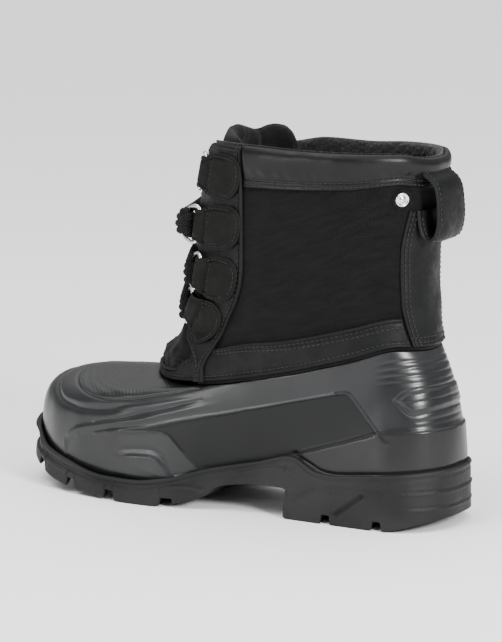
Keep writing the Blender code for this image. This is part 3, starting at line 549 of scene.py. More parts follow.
class Look:
    """A material with short ways to add nodes. Sizes of patterns are in millimetres."""

    def __init__(self, name, colour, roughness, **values):
        self.material = bpy.data.materials.new(name)
        self.material.use_nodes = True
        self.tree = self.material.node_tree
        self.shader = self.tree.nodes["Principled BSDF"]
        self.set(base_color=(*colour, 1.0), roughness=roughness, **values)
        self.place = self.maths("MULTIPLY", self.node("ShaderNodeTexCoord").outputs["Object"], 1.0 / MM, True)

    def set(self, **values):
        for name, value in values.items():
            self.shader.inputs[name.replace("_", " ").title().replace("Ior", "IOR")].default_value = value

    def node(self, kind, **settings):
        made = self.tree.nodes.new(kind)
        for name, value in settings.items():
            setattr(made, name, value)
        return made

    def feed(self, socket, value):
        if isinstance(value, bpy.types.NodeSocket):
            self.tree.links.new(value, socket)
        elif isinstance(value, (int, float)) and hasattr(socket.default_value, "__len__"):
            socket.default_value = [value] * len(socket.default_value)
        else:
            socket.default_value = value

    def maths(self, operation, first, second=0.0, vector=False, clamp=False):
        if vector:
            made = self.node("ShaderNodeVectorMath", operation=operation)
        else:
            made = self.node("ShaderNodeMath", operation=operation, use_clamp=clamp)
        self.feed(made.inputs[0], first)
        self.feed(made.inputs[1], second)
        return made.outputs[0]

    def times(self, first, second):
        return self.maths("MULTIPLY", first, second)

    def noise(self, size, detail=3.0, vector=None, stretch=None):
        vector = vector or self.place
        if stretch:
            vector = self.maths("MULTIPLY", vector, stretch, True)
        made = self.node("ShaderNodeTexNoise")
        self.feed(made.inputs["Vector"], vector)
        made.inputs["Scale"].default_value = 1.0 / size
        made.inputs["Detail"].default_value = detail
        return made.outputs["Fac"]

    def cells(self, size):
        made = self.node("ShaderNodeTexVoronoi", feature="F1")
        self.feed(made.inputs["Vector"], self.place)
        made.inputs["Scale"].default_value = 1.0 / size
        return made.outputs["Distance"]

    def field(self, name, output="Fac"):
        return self.node("ShaderNodeAttribute", attribute_name=name).outputs[output]

    def between(self, value, low, high, first=0.0, last=1.0):
        made = self.node("ShaderNodeMapRange", clamp=True, interpolation_type="SMOOTHSTEP")
        for socket, number in zip(made.inputs, (value, low, high, first, last)):
            self.feed(socket, number)
        return made.outputs["Result"]

    def mix(self, share, first, second):
        made = self.node("ShaderNodeMix", data_type="RGBA")
        self.feed(made.inputs[0], share)
        for socket, colour in ((made.inputs[6], first), (made.inputs[7], second)):
            self.feed(socket, (*colour, 1.0) if isinstance(colour, tuple) else colour)
        return made.outputs[2]

    def bump(self, height, distance):
        """Adds to the bumps that the look has already."""
        made = self.node("ShaderNodeBump")
        made.inputs["Strength"].default_value = 1.0
        made.inputs["Distance"].default_value = distance * MM
        self.feed(made.inputs["Height"], height)
        earlier = self.shader.inputs["Normal"]
        if earlier.is_linked:
            self.tree.links.new(earlier.links[0].from_socket, made.inputs["Normal"])
        self.tree.links.new(made.outputs["Normal"], earlier)

    def fed(self, name):
        """What feeds one of the material's inputs already."""
        return self.shader.inputs[name].links[0].from_socket

    def colour(self, value):
        self.feed(self.shader.inputs["Base Color"], value)

    def rough(self, value):
        self.feed(self.shader.inputs["Roughness"], value)

    def cloudy_rough(self, size, detail, low, high):
        """Clouds of this size between two roughnesses."""
        self.rough(self.between(self.noise(size, detail), 0.3, 0.7, low, high))

    def waves(self, vector, pitch):
        """Two crossing waves of this pitch along the first two parts of a vector."""
        parts = self.node("ShaderNodeSeparateXYZ")
        self.feed(parts.inputs[0], vector)
        return [self.maths("SINE", self.times(part, 2.0 * math.pi / pitch))
                for part in parts.outputs[:2]]


TOE_HATCH, BRAID_PITCH = 1.9, 2.2


def rubber(name, dark, light, rough_low, rough_high, shine, grain=0.0):
    look = Look(name, dark, rough_low, specular_ior_level=shine)
    cloudy = look.between(look.noise(28.0, 2.0), 0.35, 0.68)
    look.colour(look.mix(cloudy, dark, light))
    look.cloudy_rough(14.0, 2.0, rough_low, rough_high)
    if grain:
        look.bump(look.noise(0.9, 3.0), grain)
    return look


def make_shell_look():
    shine = 0.38
    look = rubber("shell_rubber", (0.0072, 0.0076, 0.0083), (0.0105, 0.011, 0.0118), 0.28, 0.34, shine)
    counter = look.field("counter")
    ground = look.mix(counter, look.fed("Base Color"), (0.0118, 0.0116, 0.0114))
    panel = look.field("panel")
    # Painted shade: the recessed, downward-facing side panel is painted darker than the rest of the rubber.
    look.colour(look.mix(panel, ground, (0.0035, 0.0038, 0.0043)))
    look.rough(look.maths("ADD", look.fed("Roughness"), look.times(panel, 0.12)))
    shine = look.maths("SUBTRACT", shine, look.times(panel, 0.15))
    shine = look.maths("SUBTRACT", shine, look.times(counter, 0.13))
    look.feed(look.shader.inputs["Specular IOR Level"], shine)
    # Crossed fine lines on the toe's oval, seen from above.
    slants = look.node("ShaderNodeCombineXYZ")
    for socket, outward in zip(slants.inputs, (0.67, -0.67)):
        slant = look.node("ShaderNodeVectorMath", operation="DOT_PRODUCT")
        look.feed(slant.inputs[0], look.place)
        slant.inputs[1].default_value = (0.74, outward, 0.0)
        look.feed(socket, slant.outputs["Value"])
    one, other = look.waves(slants.outputs[0], TOE_HATCH)
    hatch = look.maths("MAXIMUM", one, other)
    look.bump(look.times(hatch, look.field("toe")), 0.08)
    return look.material


def make_sole_look():
    look = rubber("sole_rubber", (0.0082, 0.0083, 0.0085), (0.014, 0.0142, 0.0144), 0.46, 0.62, 0.18, grain=0.03)
    look.bump(look.noise(1.6, 5.0), 0.35)
    return look.material


def make_textile(name, dark, light, pitch, sheen):
    look = Look(name, dark, 0.9, sheen_weight=sheen, sheen_roughness=0.45, specular_ior_level=0.12)
    cloth = look.field("cloth", "Vector")
    one, other = look.waves(cloth, pitch)
    weave = look.times(one, other)
    brushed = look.noise(5.0, 5.0, cloth, (0.35, 1.6, 1.0))
    mottled = look.maths("ADD", look.between(brushed, 0.3, 0.7), look.times(weave, 0.22))
    look.colour(look.mix(look.maths("MULTIPLY", mottled, 0.7, clamp=True), dark, light))
    look.bump(weave, 0.16)
    look.bump(look.noise(0.7, 2.0), 0.12)
    return look.material


def make_leather(name, dark, light, rough_low, rough_high, shine, grain=1.1, depth=0.1):
    look = Look(name, dark, rough_low, specular_ior_level=shine)
    worn = look.between(look.noise(12.0, 4.0), 0.35, 0.7)
    # Lighter towards each edge, up to 1.6 mm in: partly edge wear, partly a painted highlight along the rounded
    # edges.
    edge = look.between(look.field("edge"), 0.2, 1.6, 0.75, 0.0)
    look.colour(look.mix(look.maths("MAXIMUM", look.times(worn, 0.6), edge), dark, light))
    look.cloudy_rough(4.0, 4.0, rough_low, rough_high)
    look.bump(look.cells(grain), depth)
    look.bump(look.noise(0.45, 3.0), depth * 0.5)
    return look.material


def make_fleece():
    look = Look("lining_fleece", (0.008, 0.008, 0.009), 0.95, sheen_weight=0.15, sheen_roughness=0.5,
                specular_ior_level=0.1)
    tufts = look.noise(1.6, 4.0)
    look.colour(look.mix(look.between(tufts, 0.35, 0.65), (0.004, 0.004, 0.0045), (0.013, 0.013, 0.0135)))
    look.bump(tufts, 0.9)
    return look.material


def make_steel():
    look = Look("ring_steel", (0.72, 0.72, 0.73), 0.2, metallic=1.0)
    look.cloudy_rough(1.5, 4.0, 0.14, 0.3)
    look.bump(look.noise(0.6, 2.0), 0.02)
    return look.material


def make_cord():
    look = Look("lace_cord", (0.005, 0.005, 0.005), 0.85, sheen_weight=0.05, sheen_roughness=0.4,
                specular_ior_level=0.12)
    parts = look.node("ShaderNodeSeparateXYZ")
    look.feed(parts.inputs[0], look.field("cloth", "Vector"))
    along = look.times(parts.outputs[0], 2.0 * math.pi / BRAID_PITCH)
    around = look.times(parts.outputs[1], 6.0)
    left = look.maths("SINE", look.maths("ADD", along, around))
    right = look.maths("SINE", look.maths("SUBTRACT", along, around))
    braid = look.times(left, right)
    look.colour(look.mix(look.between(braid, -0.6, 0.6), (0.0025, 0.0025, 0.0025), (0.008, 0.008, 0.008)))
    look.bump(braid, 0.3)
    return look.material


def make_thread():
    look = Look("sewing_thread", (0.012, 0.0122, 0.0122), 0.6, specular_ior_level=0.2)
    twist = look.between(look.noise(1.2), 0.3, 0.7)
    look.colour(look.mix(twist, (0.009, 0.0092, 0.0092), (0.019, 0.0193, 0.019)))
    return look.material


SHELL_LOOK = make_shell_look()
SOLE_LOOK = make_sole_look()
TEXTILE = make_textile("shaft_textile", (0.0022, 0.0022, 0.0024), (0.0056, 0.0056, 0.0059), 1.1, 0.04)
TONGUE_TEXTILE = make_textile("tongue_textile", (0.003, 0.003, 0.003), (0.0075, 0.0075, 0.008), 1.6, 0.06)
LEATHER_LOOK = make_leather("strip_leather", (0.0028, 0.003, 0.003), (0.0066, 0.0069, 0.0068), 0.44, 0.6, 0.13)
TAB_LOOK = make_leather("tab_leather", (0.0024, 0.0027, 0.0021), (0.0072, 0.0078, 0.0066), 0.5, 0.64, 0.1)
COLLAR_LOOK = make_leather("collar_leather", (0.0028, 0.0028, 0.003), (0.005, 0.005, 0.0053), 0.34, 0.44, 0.2,
                           grain=0.8, depth=0.04)
FLEECE = make_fleece()
STEEL = make_steel()
CORD = make_cord()
THREAD = make_thread()


# ---------------------------------------------------------------- the rubber shell

CHUNK = 8000


class Marks:
    """Moulded lines and panels on the shell's outer half, placed by (ahead, height) as seen from the side."""

    def __init__(self, turns, levels):
        fine = grid(np.linspace(0.0, 0.5, 620), np.linspace(0.0, 1.0, 360))
        self.fine = np.stack([column.ravel() for column in fine], 1)
        self.fine_points = shell_point(*self.fine.T)
        self.turn, self.level = grid(turns, levels)
        self.points = shell_point(self.turn, self.level).reshape(-1, 3)
        self.height = np.zeros(self.turn.size)

    def find(self, places):
        """The turn and level of places given as (ahead, height), or as (ahead, out, height)."""
        found = []
        for place in places:
            seen = self.fine_points[:, [0, 2]] if len(place) == 2 else self.fine_points
            away = ((seen - place) ** 2).sum(1)
            if place[0] <= 0:
                # At the centre back only the height counts.
                away = (seen[:, -1] - place[-1]) ** 2 + 1e6 * self.fine[:, 0]
            found.append(tuple(self.fine[np.argmin(away)]))
        return found

    def trace(self, places):
        """A smooth line through places: its turns and levels, and its points."""
        found = self.find(places)
        smooth = spline(found, 24) if len(found) > 2 else np.linspace(found[0], found[-1], 60)
        return smooth, shell_point(np.clip(smooth[:, 0], 0.0, 0.5), np.clip(smooth[:, 1], 0.0, 1.0))

    def away(self, line):
        """The distance of every point from a line."""
        # An outline without its part along the centre back has one long step, which is not filled in.
        if len(line) > 40 and np.linalg.norm(np.diff(line, axis=0), axis=1).max() < 8.0:
            line = even(line, 0.6)
        nearest = []
        for some in np.split(self.points, range(CHUNK, len(self.points), CHUNK)):
            squares = (some ** 2).sum(1)[:, None] + (line ** 2).sum(1)[None] - 2.0 * some @ line.T
            nearest.append(np.sqrt(np.maximum(squares.min(1), 0.0)))
        return np.concatenate(nearest)

    def inside(self, outline):
        """Whether every point is inside a closed line of turns and levels."""
        turn, level = self.turn.ravel(), self.level.ravel()
        odd = np.zeros(turn.size, bool)
        for (a, b), (c, d) in zip(outline, np.roll(outline, -1, 0)):
            crosses = (b > level) != (d > level)
            if b != d:
                odd ^= crosses & (turn < (c - a) * (level - b) / (d - b) + a)
        return odd

    def line(self, places, height, width, fade=1.0):
        """A soft ridge, or a trough where the height is below zero."""
        self.height += height * fade * ridge(self.away(self.trace(places)[1]), width)

    def area(self, places, height, soft, fade=1.0):
        """A panel that stands in or out, with a soft edge. Gives how far inside each point is, 0 to 1."""
        found = self.find(places)
        outline = np.vstack([np.linspace(a, b, 30)[:-1] for a, b in zip(found, found[1:] + found[:1])])
        points = shell_point(outline[:, 0], outline[:, 1])[outline[:, 0] > 0.004]
        within = np.where(self.inside(outline), 1.0, -1.0) * self.away(points)
        share = ease(within / soft / 2.0 + 0.5)
        self.height += height * share * fade
        return share.reshape(self.turn.shape)


SIDE_PANEL = [(231, 41), (217, 44), (196, 48), (172, 54.5), (151, 60), (126, 66), (101, 72), (64.5, 81),
              (60, 81.5), (57, 79.5), (48, 68), (41, 59.5), (56, 53.5), (74, 47.5), (90, 42.5), (96, 39),
              (125, 30), (160, 24), (172, 36), (178, 43), (184, 46.5), (196, 46.3)]
FORE_PANEL = [(262, 34), (246, 38.5), (232, 40.5), (214, 43.4), (196, 46), (188, 46.5), (182, 45.5), (177, 41),
              (168.5, 32.5), (158, 23), (190, 16), (232, 17), (262, 21)]
NEST_PANEL = [(228, 27), (214, 28.8), (200.5, 30.2), (193, 30.5), (188, 28.8), (184, 25), (180, 18), (228, 17)]
TOE_OVAL = [(158, 44.5, 77), (177, 45.7, 72), (191, 45.8, 68.5), (204, 46, 65.6), (216, 46, 63.6), (228, 45, 62.6),
            (238, 43, 63.2), (246, 40, 64.7), (254, 35, 66.7), (261, 28, 69.3), (266, 18, 71.4), (268.5, 5, 73),
            (268.5, -8, 73.3)]
TOE_ARC = [(203, 47, 62.5), (219, 46.8, 58.5), (232, 45.8, 56.1), (247, 43.3, 55.3), (257, 40.3, 56),
           (267, 35.5, 57.5), (274.5, 29, 61.4), (279.6, 21.7, 65), (282, 10, 69.3), (282.5, -8, 70)]
RIM_GAPS = ([(96, 40.4), (86, 36), (77, 32), (67, 31), (49, 32.6), (30, 34.6), (13, 36.2), (3, 37.6), (0, 37.8)],
            [(232, 16.6), (244, 18.8), (256, 22), (270, 25.2), (284, 28.6), (291, 33), (299, 38), (303, 42)])


def shell_marks(turns, levels):
    """The height of the moulding over the shell's outer half, and the shares of its areas."""
    marks = Marks(turns, levels)
    ahead = marks.points[:, 0]
    # The big side panel, the forefoot panel and the small one in it. The side panel's share also paints shade into
    # the shell's colour.
    panel = marks.area(SIDE_PANEL, -1.1, 1.0)
    marks.line([(225, 42.4), (196, 48.3), (172, 54.9), (151, 60.4), (126, 66.5), (101, 72.5), (66, 81)], 0.55, 1.0)
    marks.line([(66, 81), (60, 81.9), (56.5, 79.5), (48, 68), (41, 59.5), (36.5, 54), (34, 53)], 0.75, 0.9)
    marks.area(FORE_PANEL, -0.9, 0.9)
    marks.line([(236, 40), (214, 43.6), (196, 46.2), (188, 46.7), (182, 45.7), (177, 41.2), (168, 32), (158, 23)],
               0.6, 0.9)
    rearward = before(ahead, 224.0, 18.0)
    marks.area(NEST_PANEL, 0.9, 0.9, rearward)
    marks.line([(226, 26.4), (214, 28.6), (200.5, 30), (193, 30.2), (188, 28.6), (184, 24), (181, 19)],
               0.45, 0.8, rearward)
    marks.line([(224, 30.5), (211.5, 33), (197, 34.6), (190, 34), (183, 30.5), (179, 24), (176.5, 18)],
               -0.5, 1.2, rearward)
    # The toe: the edge of the textured oval, the arc outside it, and the long lines above the panels.
    marks.line(TOE_OVAL, -1.2, 0.9)
    marks.line(TOE_ARC, -1.1, 2.4, after(ahead, 203.0, 22.0))
    forward = after(ahead, 140.0, 45.0)
    marks.line([(236, 46, 48), (217, 48, 52.2), (201, 48, 56.7), (183, 47.5, 61.8), (170, 47, 66), (157, 46.5, 70)],
               -0.75, 0.9, forward)
    marks.line([(262, 41, 31), (259, 41.6, 35.5), (250, 43.8, 41.4), (232, 47, 46.2), (204, 48.5, 52.4),
                (180, 47.7, 58.9), (156, 46.6, 65.9), (140, 45, 70)], 0.7, 1.7, forward)
    marks.line([(248, 43, 38.5), (232, 47, 43.4), (212, 48.5, 47.5), (190, 48, 52.4)], -0.5, 1.2,
               after(ahead, 188.0, 30.0))
    marks.line([(150, 71.5), (170, 67.8), (190, 63.6), (206, 60.2), (222, 58)], 0.3, 1.5, forward)
    for gap in RIM_GAPS:
        marks.line(gap, -1.1, 1.5)
    # Inside the oval, arched ribs about a point on the instep.
    outline, _ = marks.trace(TOE_OVAL)
    end = marks.find(TOE_OVAL[-1:])[0]
    toe = marks.inside(np.vstack([outline, [(0.5, end[1]), (0.5, 1.0), (0.2, 1.0)]]))
    within = toe * ease(marks.away(shell_point(np.clip(outline[:, 0], 0, 0.5), outline[:, 1])) / 3.0 - 0.3)
    spread = np.hypot(ahead - 196.0, marks.points[:, 1] * 1.25)
    marks.height += 0.10 * within * wave(spread, 5.2) * after(ahead, 196.0, 12.0)
    # Round the band: a ridge and a trough under the rim in front, and parallel grooves round the heel.
    rim = shell_point(marks.turn, np.ones_like(marks.level)).reshape(-1, 3)
    below = np.sqrt(((rim - marks.points) ** 2).sum(1))
    instep = after(ahead, 150.0, 14.0)
    marks.height += instep * (1.2 * ridge(below - 3.4, 2.0) - 1.1 * ridge(below - 7.4, 1.3))
    round_heel = before(ahead, 46.0, 20.0)
    marks.line([(64, 93.5), (45, 98.5), (30, 101.8), (23, 102.3), (0, 102.5)], -0.35, 0.9, round_heel)
    marks.line([(66, 90.5), (45, 94.5), (30, 97.2), (22, 98.4), (0, 98.6)], -0.4, 0.9, round_heel)
    marks.line([(56, 89), (40, 91.8), (28, 93.2), (19, 93.8), (0, 93.8)], -0.35, 0.9, round_heel)
    marks.line([(46, 86.5), (34, 88.6), (22, 89.4), (16, 89.6), (0, 89.6)], -0.25, 0.9, round_heel)
    # The pointed element on the heel, and the counter under it.
    marks.area([(28.5, 79), (24, 82.5), (15, 84.6), (0, 85), (0, 75.5), (11, 74.5), (20, 72.3)], 0.7, 0.5)
    marks.line([(31, 79), (25, 84.2), (16, 86.4), (0, 86.6)], -0.55, 0.6)
    marks.line([(31, 79), (21, 70.2), (11, 72.3), (0, 73.2)], -0.5, 0.6)
    marks.line([(24, 77), (14, 79), (0, 79.6)], -0.35, 0.6)
    marks.line([(18, 66.5), (9, 67.6), (0, 68)], -0.25, 0.8)
    counter = marks.area([(38, 58.5), (56, 53), (74, 47), (90, 42), (104, 36), (104, 20), (0, 20), (0, 61.5),
                          (8, 61.5), (20, 60.5)], 0.7, 0.8)
    marks.line([(0, 62.6), (8, 62.6), (20, 61.6), (38, 59.3), (56, 53.9), (74, 47.9), (90, 43)], 0.4, 0.7)
    marks.height += 0.9 * counter.ravel() * before(ahead, 26.0, 16.0)
    # Hand-made unevenness of the moulding.
    marks.height += 0.18 * soft_noise(marks.points, 34.0, 1)
    shape = marks.turn.shape
    return marks.height.reshape(shape), {"toe": within.reshape(shape), "counter": counter, "panel": panel}


def make_shell():
    half = even_turns(lambda turn: shell_point(turn, 0.35), 1200, SHELL_TURNS)
    levels = np.linspace(0.0, 1.0, SHELL_LEVELS) ** 0.94
    height, shares = shell_marks(half, levels)
    # The boot's inner side mirrors the marks of its outer side.
    turns = np.concatenate([half, 1.0 - half[-2:0:-1]])
    mirror = np.concatenate([np.arange(SHELL_TURNS), np.arange(SHELL_TURNS - 2, 0, -1)])
    outer = shell(*grid(turns, levels), height[mirror])
    rim = shell(*grid(turns, np.ones(3)), np.array([-0.35, -1.25, -2.15])) + (0.0, 0.0, 0.25)
    inner = shell(*grid(turns, np.linspace(1.0, 0.0, 12)), -SHELL_WALL)
    loops = np.concatenate([outer, rim, inner], 1)
    unmarked = ((0, 0), (0, loops.shape[1] - SHELL_LEVELS))
    fields = {name: np.pad(share[mirror], unmarked) for name, share in shares.items()}
    build_loops("shell_body", loops, SHELL_LOOK, "shell_rubber", ["shell"], fields, closed=True, merge=0.004)


# ---------------------------------------------------------------- the sole

ARCH_ROOF = Table("ahead height", (100.2, 15.5), (101.5, 18.2), (104, 19), (123, 19), (141, 17), (149, 14.5),
                  (161, 6.5), (178, 2.0), (188, 0.3))
BREAST_LEAN = 3.0
GROOVE_WALL = 0.55


def groove(away, width):
    """1 inside a groove of this width, 0 outside, with steep soft walls."""
    return ease((width / 2.0 + GROOVE_WALL - np.abs(away)) / (2.0 * GROOVE_WALL))


NOTCH_DEPTH, CHANNEL_DEPTH, CHANNEL_WIDTH = 5.8, 5.6, 4.0
CROSS_CHANNELS = (208, 214), (236, 243), (262, 270)  # ahead, at the ends and in the middle


def tread_height(ahead, out):
    """The underside of the sole: lugs, channels, notches, the arch and fine ribs."""
    side = np.abs(out - FOOT.at(ahead, "middle"))
    heel_out, fore_out = HEEL_CHANNEL.at(ahead, "out"), FORE_CHANNEL.at(ahead, "out")
    heel = before(ahead, 80.5, 1.2) * after(ahead, 18, 1.2)
    fore = after(ahead, 186.0, 1.2) * before(ahead, 293.0, 1.2)
    cuts = []
    for edge, middle, width in NOTCHES.rows:
        place = edge + width / 2.0 + (middle - edge) / 28.0 * (50.0 - np.abs(out))
        cuts.append(groove((ahead - place) * 0.93, width) * ease((np.abs(out) - 21.0) / 1.6) * NOTCH_DEPTH)
    cuts.append(groove(side - heel_out, CHANNEL_WIDTH) * heel * CHANNEL_DEPTH)
    cuts.append(groove(ahead - 20.0, CHANNEL_WIDTH) * before(side, 11.0, 1.2) * CHANNEL_DEPTH)
    cuts.append(groove(side - fore_out, CHANNEL_WIDTH) * fore * CHANNEL_DEPTH)
    for ends, middle in CROSS_CHANNELS:
        place = middle + (ends - middle) * side / FORE_CHANNEL.at(ends, "out")
        within = ease((fore_out - side) / 1.2 + 0.5)
        cuts.append(groove(ahead - place, CHANNEL_WIDTH) * within * CHANNEL_DEPTH)
    # Fine ribs on the heel's middle pad, and chevrons on the forefoot's middle blocks.
    pad = ease((heel_out - 4.0 - side) / 1.0) * after(ahead, 25, 1.0) * before(ahead, 94, 1.0)
    cuts.append(pad * (1.2 + 0.7 * wave(ahead + side * 0.5, 5.0)))
    blocks = ease((fore_out - 4.5 - side) / 1.0) * fore
    cuts.append(blocks * (0.5 + 0.5 * wave(ahead - side * 0.25, 4.6)))
    base = TREAD.at(ahead, "height") + 2.4 * after(ahead, 96.0, 5.0) ** 2 * (ahead < 102.5)
    ground = base + np.maximum.reduce(cuts)
    arch = ARCH_ROOF.at(ahead, "height") + 0.35 * wave(ahead, 3.6) * before(side, 24.0, 2.0)
    under = after(ahead, 99.8, 1.4) * before(ahead, 189.5, 1.5)
    return ground + (np.maximum(arch, ground) - ground) * under


LUG_LINE = Table("ahead height", (150, 11.0), (157, 11.6), (166, 12.9), (178, 12.4), (192, 10.2), (205, 8.4),
                 (220, 7.9), (236, 9.3), (250, 11.2), (264, 15.0), (285, 20.0), (303, 25.0))
HEEL_LINE = Table("ahead height", (0, 24.3), (13, 23.6), (24, 23.0), (47, 21.6), (67, 21.0), (81, 19.9), (91, 15.4),
                  (101, 12.0))
WAIST_LINE = Table("ahead height", (93, 30.8), (97, 31.8), (105.6, 32.8), (115.5, 31.7), (128.6, 28.2), (140, 25.4))


def sole_side_height(ahead, height, rim):
    """How far the sole's side stands out from its plain wall."""
    below = rim - height
    relief = 0.55 * ridge(below - 0.9, 0.8) - 0.55 * ridge(below - 3.2, 0.6)
    front = after(ahead, 152.0, 5.0)
    away = height - LUG_LINE.at(ahead, "height")
    relief = relief + front * (0.9 * ease(0.5 - away / 1.6) - 0.5 * ridge(away - 1.5, 0.8))
    relief = relief + front * 0.35 * ridge(away + 0.4, 0.6)
    toe = after(ahead, 289.0, 9.0)
    relief = relief - 1.8 * toe * ridge(height - 28.5, 4.5)
    relief = relief + 0.9 * toe * ridge(height - 35.5, 2.6)
    heel = before(ahead, 101.0, 3.0)
    away = height - HEEL_LINE.at(ahead, "height")
    relief = relief + heel * (0.55 * ridge(away, 0.6) - 0.5 * ridge(away - 1.3, 0.7))
    slope = ((height - 6.9) * 18.6 - (65.9 - ahead) * 13.9) / 23.2
    within = after(height, 5.0, 2.0) * before(height, 21.5, 1.5) * after(ahead, 40.0, 4.0)
    relief = relief - 2.2 * within * heel * ridge(slope, 0.9)
    back = before(ahead, 22.0, 8.0)
    for level in (24.6, 15.0):
        relief = relief + back * (0.6 * ridge(height - level + 1.2, 0.8)
                                  - 0.7 * ridge(height - level, 0.6))
    away = height - WAIST_LINE.at(ahead, "height")
    waist = after(ahead, 94.0, 4.0) * before(ahead, 138.0, 8.0)
    relief = relief + waist * (0.4 * ridge(away, 0.6) - 0.4 * ridge(away + 1.3, 0.9))
    return relief


def rim_level(turn, height):
    """The level at which the shell's wall has this height."""
    low, high = np.zeros_like(turn), np.full_like(turn, 0.9)
    for _ in range(22):
        middle = (low + high) / 2.0
        under = shell_point(turn, middle)[..., 2] < height
        low, high = np.where(under, middle, low), np.where(under, high, middle)
    return low


# The sole's rim: shares of its wall's thickness on the way in, and how far each stands above its outer edge.
RIM_TOP = (0.97, 0.1), (0.8, 0.25), (0.5, 0.3), (0.2, 0.15), (0.0, -0.3)


def sole_wall(turn, column):
    """One side of the sole: points from the tread's edge up to the rim and down inside it."""
    ahead, out = sole_outline(turn, SOLE_WALL + CLEARANCE)
    flare = (1.2 * side_of(turn) * power_close(ahead, HEEL_ROUND, 2.0))[:, None]
    tread, bed = TREAD.at(ahead, "height")[:, None], BED.at(ahead, "height")[:, None]
    bottom, rim = tread_height(ahead, out)[:, None], SOLE_RIM.at(ahead, column)
    top = rim_level(turn, rim)
    rim = rim[:, None]
    share = np.linspace(0.0, 1.0, SOLE_ROWS)[None]
    height = bottom + (rim - bottom) * share
    # Below the footbed the wall stands under the foot's outline, and above it against the shell.
    plain = np.clip((height - tread) / (bed - tread), 0, 1)
    low_points = joined(ahead[:, None], out[:, None] + flare - flare * plain, height)
    level = top[:, None] * np.clip((height - bed) / (rim - bed), 0.0, 1.0)
    turns = np.broadcast_to(turn[:, None], level.shape)
    high_points = shell(turns, level, SOLE_WALL + OVERLAY)
    high_points[..., 2] = height
    wall = low_points + (high_points - low_points) * ease((height - bed) / 3.0 + 0.5)[..., None]
    relief = sole_side_height(ahead[:, None], height, rim) * np.clip(share * SOLE_ROWS / 2.0, 0.0, 1.0)
    normal = shell(turns, np.maximum(level, 0.02), 1.0) - shell(turns, np.maximum(level, 0.02), 0.0)
    normal[..., 2] *= 0.3
    wall = wall + normal * relief[..., None]
    over = [shell(turn, top, OVERLAY + SOLE_WALL * part) + (0.0, 0.0, lift) for part, lift in RIM_TOP]
    for part in (0.5, 0.0):
        over.append(shell(turn, top * part, OVERLAY) - (0.0, 0.0, CLEARANCE * (1.0 - part)))
    return np.concatenate([wall, np.stack(over, 1)], 1)


def make_outsole():
    turns = even_turns(lambda turn: joined(*sole_outline(turn, 3.0), 0.0), 1400, SOLE_TURNS)
    outer, inner = sole_wall(turns, "outer"), sole_wall(1.0 - turns, "inner")
    inner[[0, -1]] = outer[[0, -1]]
    bed = across_to(outer[:, -1], inner[:, -1], 5)
    under = across_to(inner[:, 0], outer[:, 0], 65)
    under[..., 2] = tread_height(under[..., 0], under[..., 1])
    loops = np.concatenate([outer, bed, inner[:, ::-1], under], 1)
    # The heel's breast leans forward towards the floor.
    ahead, height = loops[..., 0], loops[..., 2]
    lean = after(ahead, 84.0, 16.0) * (1.0 - after(height, 1.0, 16.0)) * (ahead < 103.0)
    loops[..., 0] += BREAST_LEAN * lean
    build_loops("outsole_body", loops, SOLE_LOOK, "sole_rubber", ["outsole"], caps="none", merge=0.004)


def make_footbed():
    turns = np.linspace(0.0, 0.5, 90)
    ahead, out = sole_outline(turns, -SHELL_WALL - 0.8)
    other = sole_outline(1.0 - turns, -SHELL_WALL - 0.8)[1]
    across = out[:, None] + (other - out)[:, None] * np.linspace(0.0, 1.0, 26)
    edge = np.minimum(np.abs(across - out[:, None]), np.abs(across - other[:, None]))
    ahead, bed = ahead[:, None], BED.at(ahead, "height")[:, None]
    top = joined(ahead, across, bed + 1.2 + (INSOLE_THICKNESS - 1.2) * np.sqrt(ease(edge / 4.0)))
    # Uneven, and cupped towards its edge.
    cup = 1.3 * ease(1.0 - edge / 14.0) * ease(edge / 4.0)
    top[..., 2] += 0.5 * soft_noise(top, 22.0, 2) * ease(edge / 5.0) + cup
    loops = two_sided(top, joined(ahead, across, bed + CLEARANCE))
    build_loops("footbed", loops, FLEECE, "lining", ["insole"], padded=0.9)


# ---------------------------------------------------------------- shaft, lining and strips

def throat_places(u, share):
    """The shaft from the throat's outer edge round the back to its inner edge."""
    edge = throat_turn(share)
    return edge - 2.0 * edge * u, share


def shaft_relief(points):
    """The cloth's soft hang: wide shallow folds, and smaller ones that are deeper low down."""
    level = np.clip((points[..., 2] - 105.0) / 120.0, 0, 1)
    folds = soft_noise(points * (1.0, 0.6, 0.45), 46.0, 3) * 0.55
    return folds + 0.3 * soft_noise(points * (0.4, 0.4, 1.0), 26.0, 4) * (1.0 - level * 0.6)


HEM_SEAMS = (0.850, 0.871)
UNDER_HEM = 0.834


def make_shaft():
    shares = np.concatenate([np.linspace(0.0, 0.985, SHAFT_ROWS), [0.994, 1.0]])
    turn, share = throat_places(*grid(np.linspace(0.0, 1.0, SHAFT_TURNS), shares))
    base = shaft(turn, share)
    walked = lengths(base, 0)
    edge = np.minimum(walked, walked[-1:] - walked)
    relief = shaft_relief(base) * ease(edge / 8.0) * before(share, 1.02, 0.12) * ease(share / 0.1)
    # A seam runs round the leg just under the collar's hem.
    relief = relief - 0.35 * ridge((share - UNDER_HEM) * LEG_HEIGHT, 1.1)
    loops = two_sided(shaft(turn, share, relief - 0.1), shaft(turn, share, -CLOTH_WALL))
    build_loops("shaft_cloth", loops, TEXTILE, "shaft_textile", ["shaft"], cloth_fields(base))


